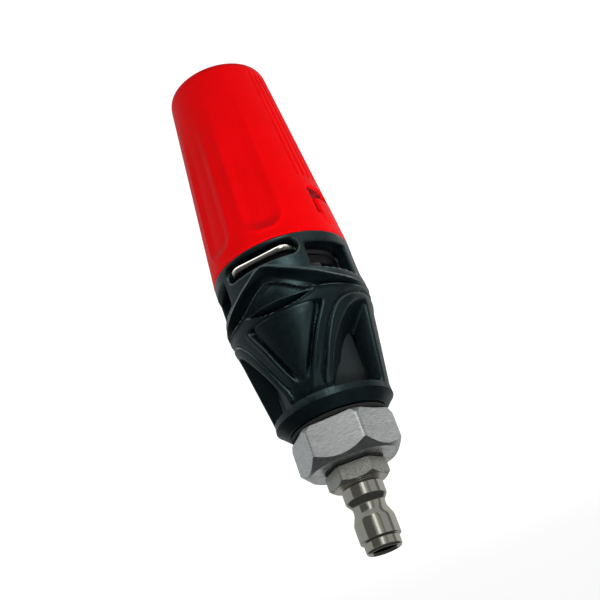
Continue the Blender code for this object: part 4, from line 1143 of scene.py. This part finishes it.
# The housing up to the collar's top gets near-black painted shade, for the shade under the windows.
PAINTED_SHADE_END = COVER_TOP + 8.7
give_faces(housing, black_painted_shade, lambda middle: middle[:, 2] < PAINTED_SHADE_END)
cap_corners = [
    (10.7, CAP_HIGH), (10.7, CAP_RING_Z + 0.9), (9.2, CAP_RING_Z + 0.9), (9.2, CAP_RING_Z - 0.9),
    (10.7, CAP_RING_Z - 0.9), (10.7, CAP_LOW + 2.4), (13.0, CAP_LOW + 2.4), (13.0, CAP_LOW),
    (7.0, CAP_LOW), (2.4, CAP_HIGH - 12.4), (2.4, CAP_HIGH - 10.0), (5.6, CAP_HIGH - 10.0),
    (5.6, CAP_HIGH),
]
turn_piece(
    "outlet_cap_turned", soften(cap_corners, [0.2] * 7 + [0.4, 0.6, 0.8] + [0.2] * 3, 5), 120,
    brass, "pressure_body", "brass", replaces=("outlet_cap",),
)


def washer_outline(inner, outer, low, high):
    """Outline of a flat ring with softened edges."""
    return soften([(outer, high), (outer, low), (inner, low), (inner, high)], 0.12)


turn_piece(
    "glide_washer_ring", washer_outline(12.5, 14.3, WASHER_LOW, WASHER_HIGH), 120,
    rubber, "pressure_body", "black_rubber", replaces=("glide_washer",),
)
SEAL_LOW, SEAL_HIGH = (corner.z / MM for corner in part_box("plug_seal_ring"))
turn_piece(
    "plug_seal_washer", washer_outline(6.6, 8.3, SEAL_LOW, SEAL_HIGH), 120,
    rubber, "pressure_body", "black_rubber", replaces=("plug_seal_ring",),
)


def torus_outline(node, section):
    """Circle whose middle is read from the ring's own box: outer radius less the section."""
    low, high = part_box(node)
    turn = evenly_round(20)
    radius = high.x / MM - section + section * np.cos(turn)
    return np.stack([radius, (low.z + high.z) / 2 / MM + section * np.sin(turn)], 1)


for node, section in (
    ("inlet_o_ring", 0.6), ("cover_o_ring", 1.0), ("cap_o_ring", 0.6), ("seat_o_ring", 0.6),
):
    turn_piece(
        node + "_fine", torus_outline(node, section), 120,
        rubber, "pressure_body", "black_rubber", replaces=(node,),
    )

# %% [markdown]
# ## The solids that stay
#
# The rotor and its neighbours lie inside the housing, behind the cap's narrow throat. Modelling
# them again would cost triangles and show next to nothing, so the frame's own solids only get
# a finish here.

# %% Finish the solids that stay
hidden_solids = (
    ("swirl_insert", rotor_plastic), ("nozzle_seat", ceramic), ("rotor_tip", ceramic),
    ("rotor_body", rotor_plastic), ("rotor_weight", brass), ("flow_straightener", rotor_plastic),
    ("drive_ring", rubber),
)
for node, look in hidden_solids:
    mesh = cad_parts[node].data
    mesh.materials.clear()
    mesh.materials.append(look)
print("carried over with a new finish:", len(hidden_solids), "solids")

# %% [markdown]
# ## Floor and backdrop
#
# The nozzle stands on pale paper that also rises behind it. A plain lit floor would fade with
# distance, so the paper glows and reads as even white. Only the camera sees that glow: bounced
# and mirrored light leave it out, so that it can't wash out the dark sleeve. The backdrop is a
# wide cylinder, far enough away that every camera angle finds paper behind the nozzle.

# %% Floor
BACKDROP_RADIUS = 5.0
BACKDROP_FOOT, BACKDROP_TOP = -0.01, 6.0
BACKDROP_PANELS = 96


def glowing_look(name, shade, roughness, brightness):
    """Matt grey of a shade that also glows white."""
    look = new_finish(name, (shade, shade, shade), roughness)
    set_socket(look, "Specular IOR Level", 0.0)
    set_socket(look, "Emission Color", (1.0, 1.0, 1.0, 1.0))
    set_socket(look, "Emission Strength", brightness)
    return look


floor_look = glowing_look("pale_floor", 0.20, 0.9, 0.93)
bpy.ops.mesh.primitive_plane_add(size=12.0, location=(0.0, 0.0, 0.0))
floor = bpy.context.object
floor.name = "floor"
floor.data.materials.append(floor_look)
floor.visible_glossy = False
floor.visible_diffuse = False

wall = [(BACKDROP_RADIUS, BACKDROP_FOOT), (BACKDROP_RADIUS, BACKDROP_TOP)]
wall_points = round_the_axis(wall, evenly_round(BACKDROP_PANELS)).reshape(-1, 3)
wall_quads = ring_quads(2, BACKDROP_PANELS)[:BACKDROP_PANELS]
backdrop_mesh = bpy.data.meshes.new("paper_backdrop")
backdrop_mesh.from_pydata(wall_points.tolist(), [], wall_quads.tolist())
backdrop_mesh.materials.append(floor_look)
backdrop = bpy.data.objects.new("paper_backdrop", backdrop_mesh)
bpy.context.scene.collection.objects.link(backdrop)
backdrop.visible_glossy = False
backdrop.visible_diffuse = False
backdrop.visible_shadow = False
print("floor and backdrop:", len(backdrop_mesh.polygons), "wall panels")

# %% [markdown]
# ## Lights
#
# One large key and four fills give plain soft light. They are left out of reflections, because a
# mirrored softbox blots out the nut's chamfer. A photographer then puts flags and small lamps
# where one part needs an edge, and light linking does the same here: each glint reaches only the
# named pieces and adds shine without colour. More key light would lift the whole picture instead.

# %% Lights
SLEEVE_AND_CLIP = ("rear_sleeve_lattice", "spring_clip")
MIDDLE = Vector((0.0, 0.0, 0.08))
PLUG_MIDDLE = Vector((0.0, 0.0, 0.145))
NUT_MIDDLE = Vector((0.0, 0.0, 0.127))
VIEW_AZIMUTH = math.radians(-14.5)


def towards(azimuth, elevation):
    """Unit vector at an azimuth counted from the camera's, and an elevation, in degrees."""
    turn = VIEW_AZIMUTH + math.radians(azimuth)
    lift = math.radians(elevation)
    flat = math.cos(lift)
    return Vector((math.sin(turn) * flat, -math.cos(turn) * flat, math.sin(lift)))


def soft_light(name, azimuth, elevation, distance, size, power, mirrored=True, only=(), aim=MIDDLE):
    """A rectangular light that faces its aim.

    The key and the fills aren't mirrored. A glint adds shine alone, to the pieces in `only`.
    """
    lamp = bpy.data.lights.new(name, "AREA")
    lamp.shape = "RECTANGLE"
    lamp.size, lamp.size_y = size
    lamp.energy = power
    holder = bpy.data.objects.new(name, lamp)
    way = towards(azimuth, elevation)
    holder.location = aim + distance * way
    holder.rotation_euler = way.to_track_quat("Z", "Y").to_euler()
    holder.visible_glossy = mirrored
    bpy.context.scene.collection.objects.link(holder)
    if only:
        lamp.diffuse_factor = 0.0
        reached = bpy.data.collections.new(name + "_reaches")
        for piece in only:
            reached.objects.link(bpy.data.objects[piece])
        holder.light_linking.receiver_collection = reached


soft_light("key_softbox", -47.0, 47.0, 0.7, (0.24, 0.17), 4.6, mirrored=False)
soft_light("front_fill", 12.0, 40.0, 0.7, (0.50, 0.50), 2.6, mirrored=False)
soft_light("left_fill", 80.0, 30.0, 0.7, (0.50, 0.50), 1.3, mirrored=False)
soft_light("right_fill", -105.0, 25.0, 0.7, (0.50, 0.50), 1.6, mirrored=False)
soft_light("back_fill", 180.0, 40.0, 0.8, (0.60, 0.60), 3.4, mirrored=False)
soft_light("edge_glint", -47.0, 47.0, 0.7, (0.24, 0.17), 1.6, only=SLEEVE_AND_CLIP)
soft_light("floor_glint", 0.0, -89.9, 0.078, (0.20, 0.20), 0.16, only=SLEEVE_AND_CLIP)
soft_light("rib_glint", -11.0, -21.0, 0.12, (0.03, 0.07), 0.026, only=SLEEVE_AND_CLIP)
soft_light(
    "nut_glint", 16.0, -22.0, 0.2, (0.18, 0.14), 0.022,
    only=("inlet_nut_hexagon",), aim=NUT_MIDDLE,
)
print("soft lights:", sum(lamp.type == "AREA" for lamp in bpy.data.lights))

# %% [markdown]
# ## Cards for the polished metal
#
# Polished metal has no look of its own: it shows what stands round it. A ring of cards, which
# only reflections can see, gives the plug and the nut their bright and dark stripes. Dark cards
# matter as much as the bright one, because a stripe reads only beside its opposite.

# %% Cards and sky
CARD_DISTANCE = 0.25


def card(name, azimuth, elevation, size, brightness):
    """A card that only reflections see, facing the plug, with its width and height in degrees."""
    half = [CARD_DISTANCE * math.tan(math.radians(angle / 2)) for angle in size]
    way = towards(azimuth, elevation)
    side = Vector((0.0, 0.0, 1.0)).cross(way).normalized()
    rise = way.cross(side)
    spots = [(-1, -1), (1, -1), (1, 1), (-1, 1)]
    middle = PLUG_MIDDLE + CARD_DISTANCE * way
    corners = [middle + side * half[0] * u + rise * half[1] * v for u, v in spots]
    mesh = bpy.data.meshes.new(name)
    mesh.from_pydata([tuple(corner) for corner in corners], [], [(0, 1, 2, 3)])
    mesh.materials.append(glowing_look(name, 0.0, 0.5, brightness))
    holder = bpy.data.objects.new(name, mesh)
    bpy.context.scene.collection.objects.link(holder)
    holder.visible_camera = False
    holder.visible_diffuse = False
    holder.visible_shadow = False


card("white_strip_card", -7.0, -22.0, (13.0, 60.0), 1.15)
card("dark_card_beside_strip", 37.0, -22.0, (54.0, 60.0), 0.10)
card("narrow_dark_card", -33.0, -22.0, (12.0, 60.0), 0.20)
card("side_dark_card", -86.0, -22.0, (18.0, 60.0), 0.16)
card("side_light_card", -122.0, -22.0, (50.0, 60.0), 0.50)
card("back_grey_card", 180.0, 26.0, (80.0, 40.0), 0.36)

world = bpy.data.worlds.new("studio")
bpy.context.scene.world = world
world.use_nodes = True
sky = world.node_tree.nodes
look_way = sky.new("ShaderNodeTexCoord")
parts = sky.new("ShaderNodeSeparateXYZ")
fade_up = sky.new("ShaderNodeMapRange")
fade_up.inputs["From Min"].default_value = 0.02
fade_up.inputs["From Max"].default_value = 0.35
fade_up.inputs["To Min"].default_value = 0.38
fade_up.inputs["To Max"].default_value = 0.05
world.node_tree.links.new(look_way.outputs["Generated"], parts.inputs["Vector"])
world.node_tree.links.new(parts.outputs["Z"], fade_up.inputs["Value"])
world.node_tree.links.new(fade_up.outputs["Result"], sky["Background"].inputs["Strength"])
sky["Background"].inputs["Color"].default_value = (0.93, 0.98, 1.0, 1.0)
print("the sky fades upwards, from its horizon to its top")

# %% [markdown]
# ## Camera
#
# The nozzle is seen a little from its left and from above its middle, and the picture is rolled
# so that the plug points down and to the side. A camera is a turned frame of three arrows, so
# the roll is worked out on those arrows and the nozzle itself stays upright on its floor.

# %% Camera
VIEW_ELEVATION = math.radians(24.4)
VIEW_ROLL = math.radians(-159.6)
VIEW_DISTANCE = 0.3303
AIM = Vector((-0.00158, 0.00168, 0.07962))
LENS = 66.0
SENSOR = 36.0

back = Vector(
    (
        math.sin(VIEW_AZIMUTH) * math.cos(VIEW_ELEVATION),
        -math.cos(VIEW_AZIMUTH) * math.cos(VIEW_ELEVATION),
        math.sin(VIEW_ELEVATION),
    )
)
level = Vector((0.0, 0.0, 1.0)).cross(back).normalized()
upright = back.cross(level)
right = level * math.cos(VIEW_ROLL) - upright * math.sin(VIEW_ROLL)
up = upright * math.cos(VIEW_ROLL) + level * math.sin(VIEW_ROLL)
lens = bpy.data.cameras.new("camera")
lens.lens = LENS
lens.sensor_width = SENSOR
lens.clip_start = 0.01
camera = bpy.data.objects.new("camera", lens)
camera.matrix_world = Matrix.Translation(AIM + VIEW_DISTANCE * back) @ Matrix(
    (right, up, back)
).transposed().to_4x4()
bpy.context.scene.collection.objects.link(camera)
bpy.context.scene.camera = camera
bpy.context.scene.view_settings.view_transform = "Standard"
print("camera", round(VIEW_DISTANCE / MM), "mm from its aim")
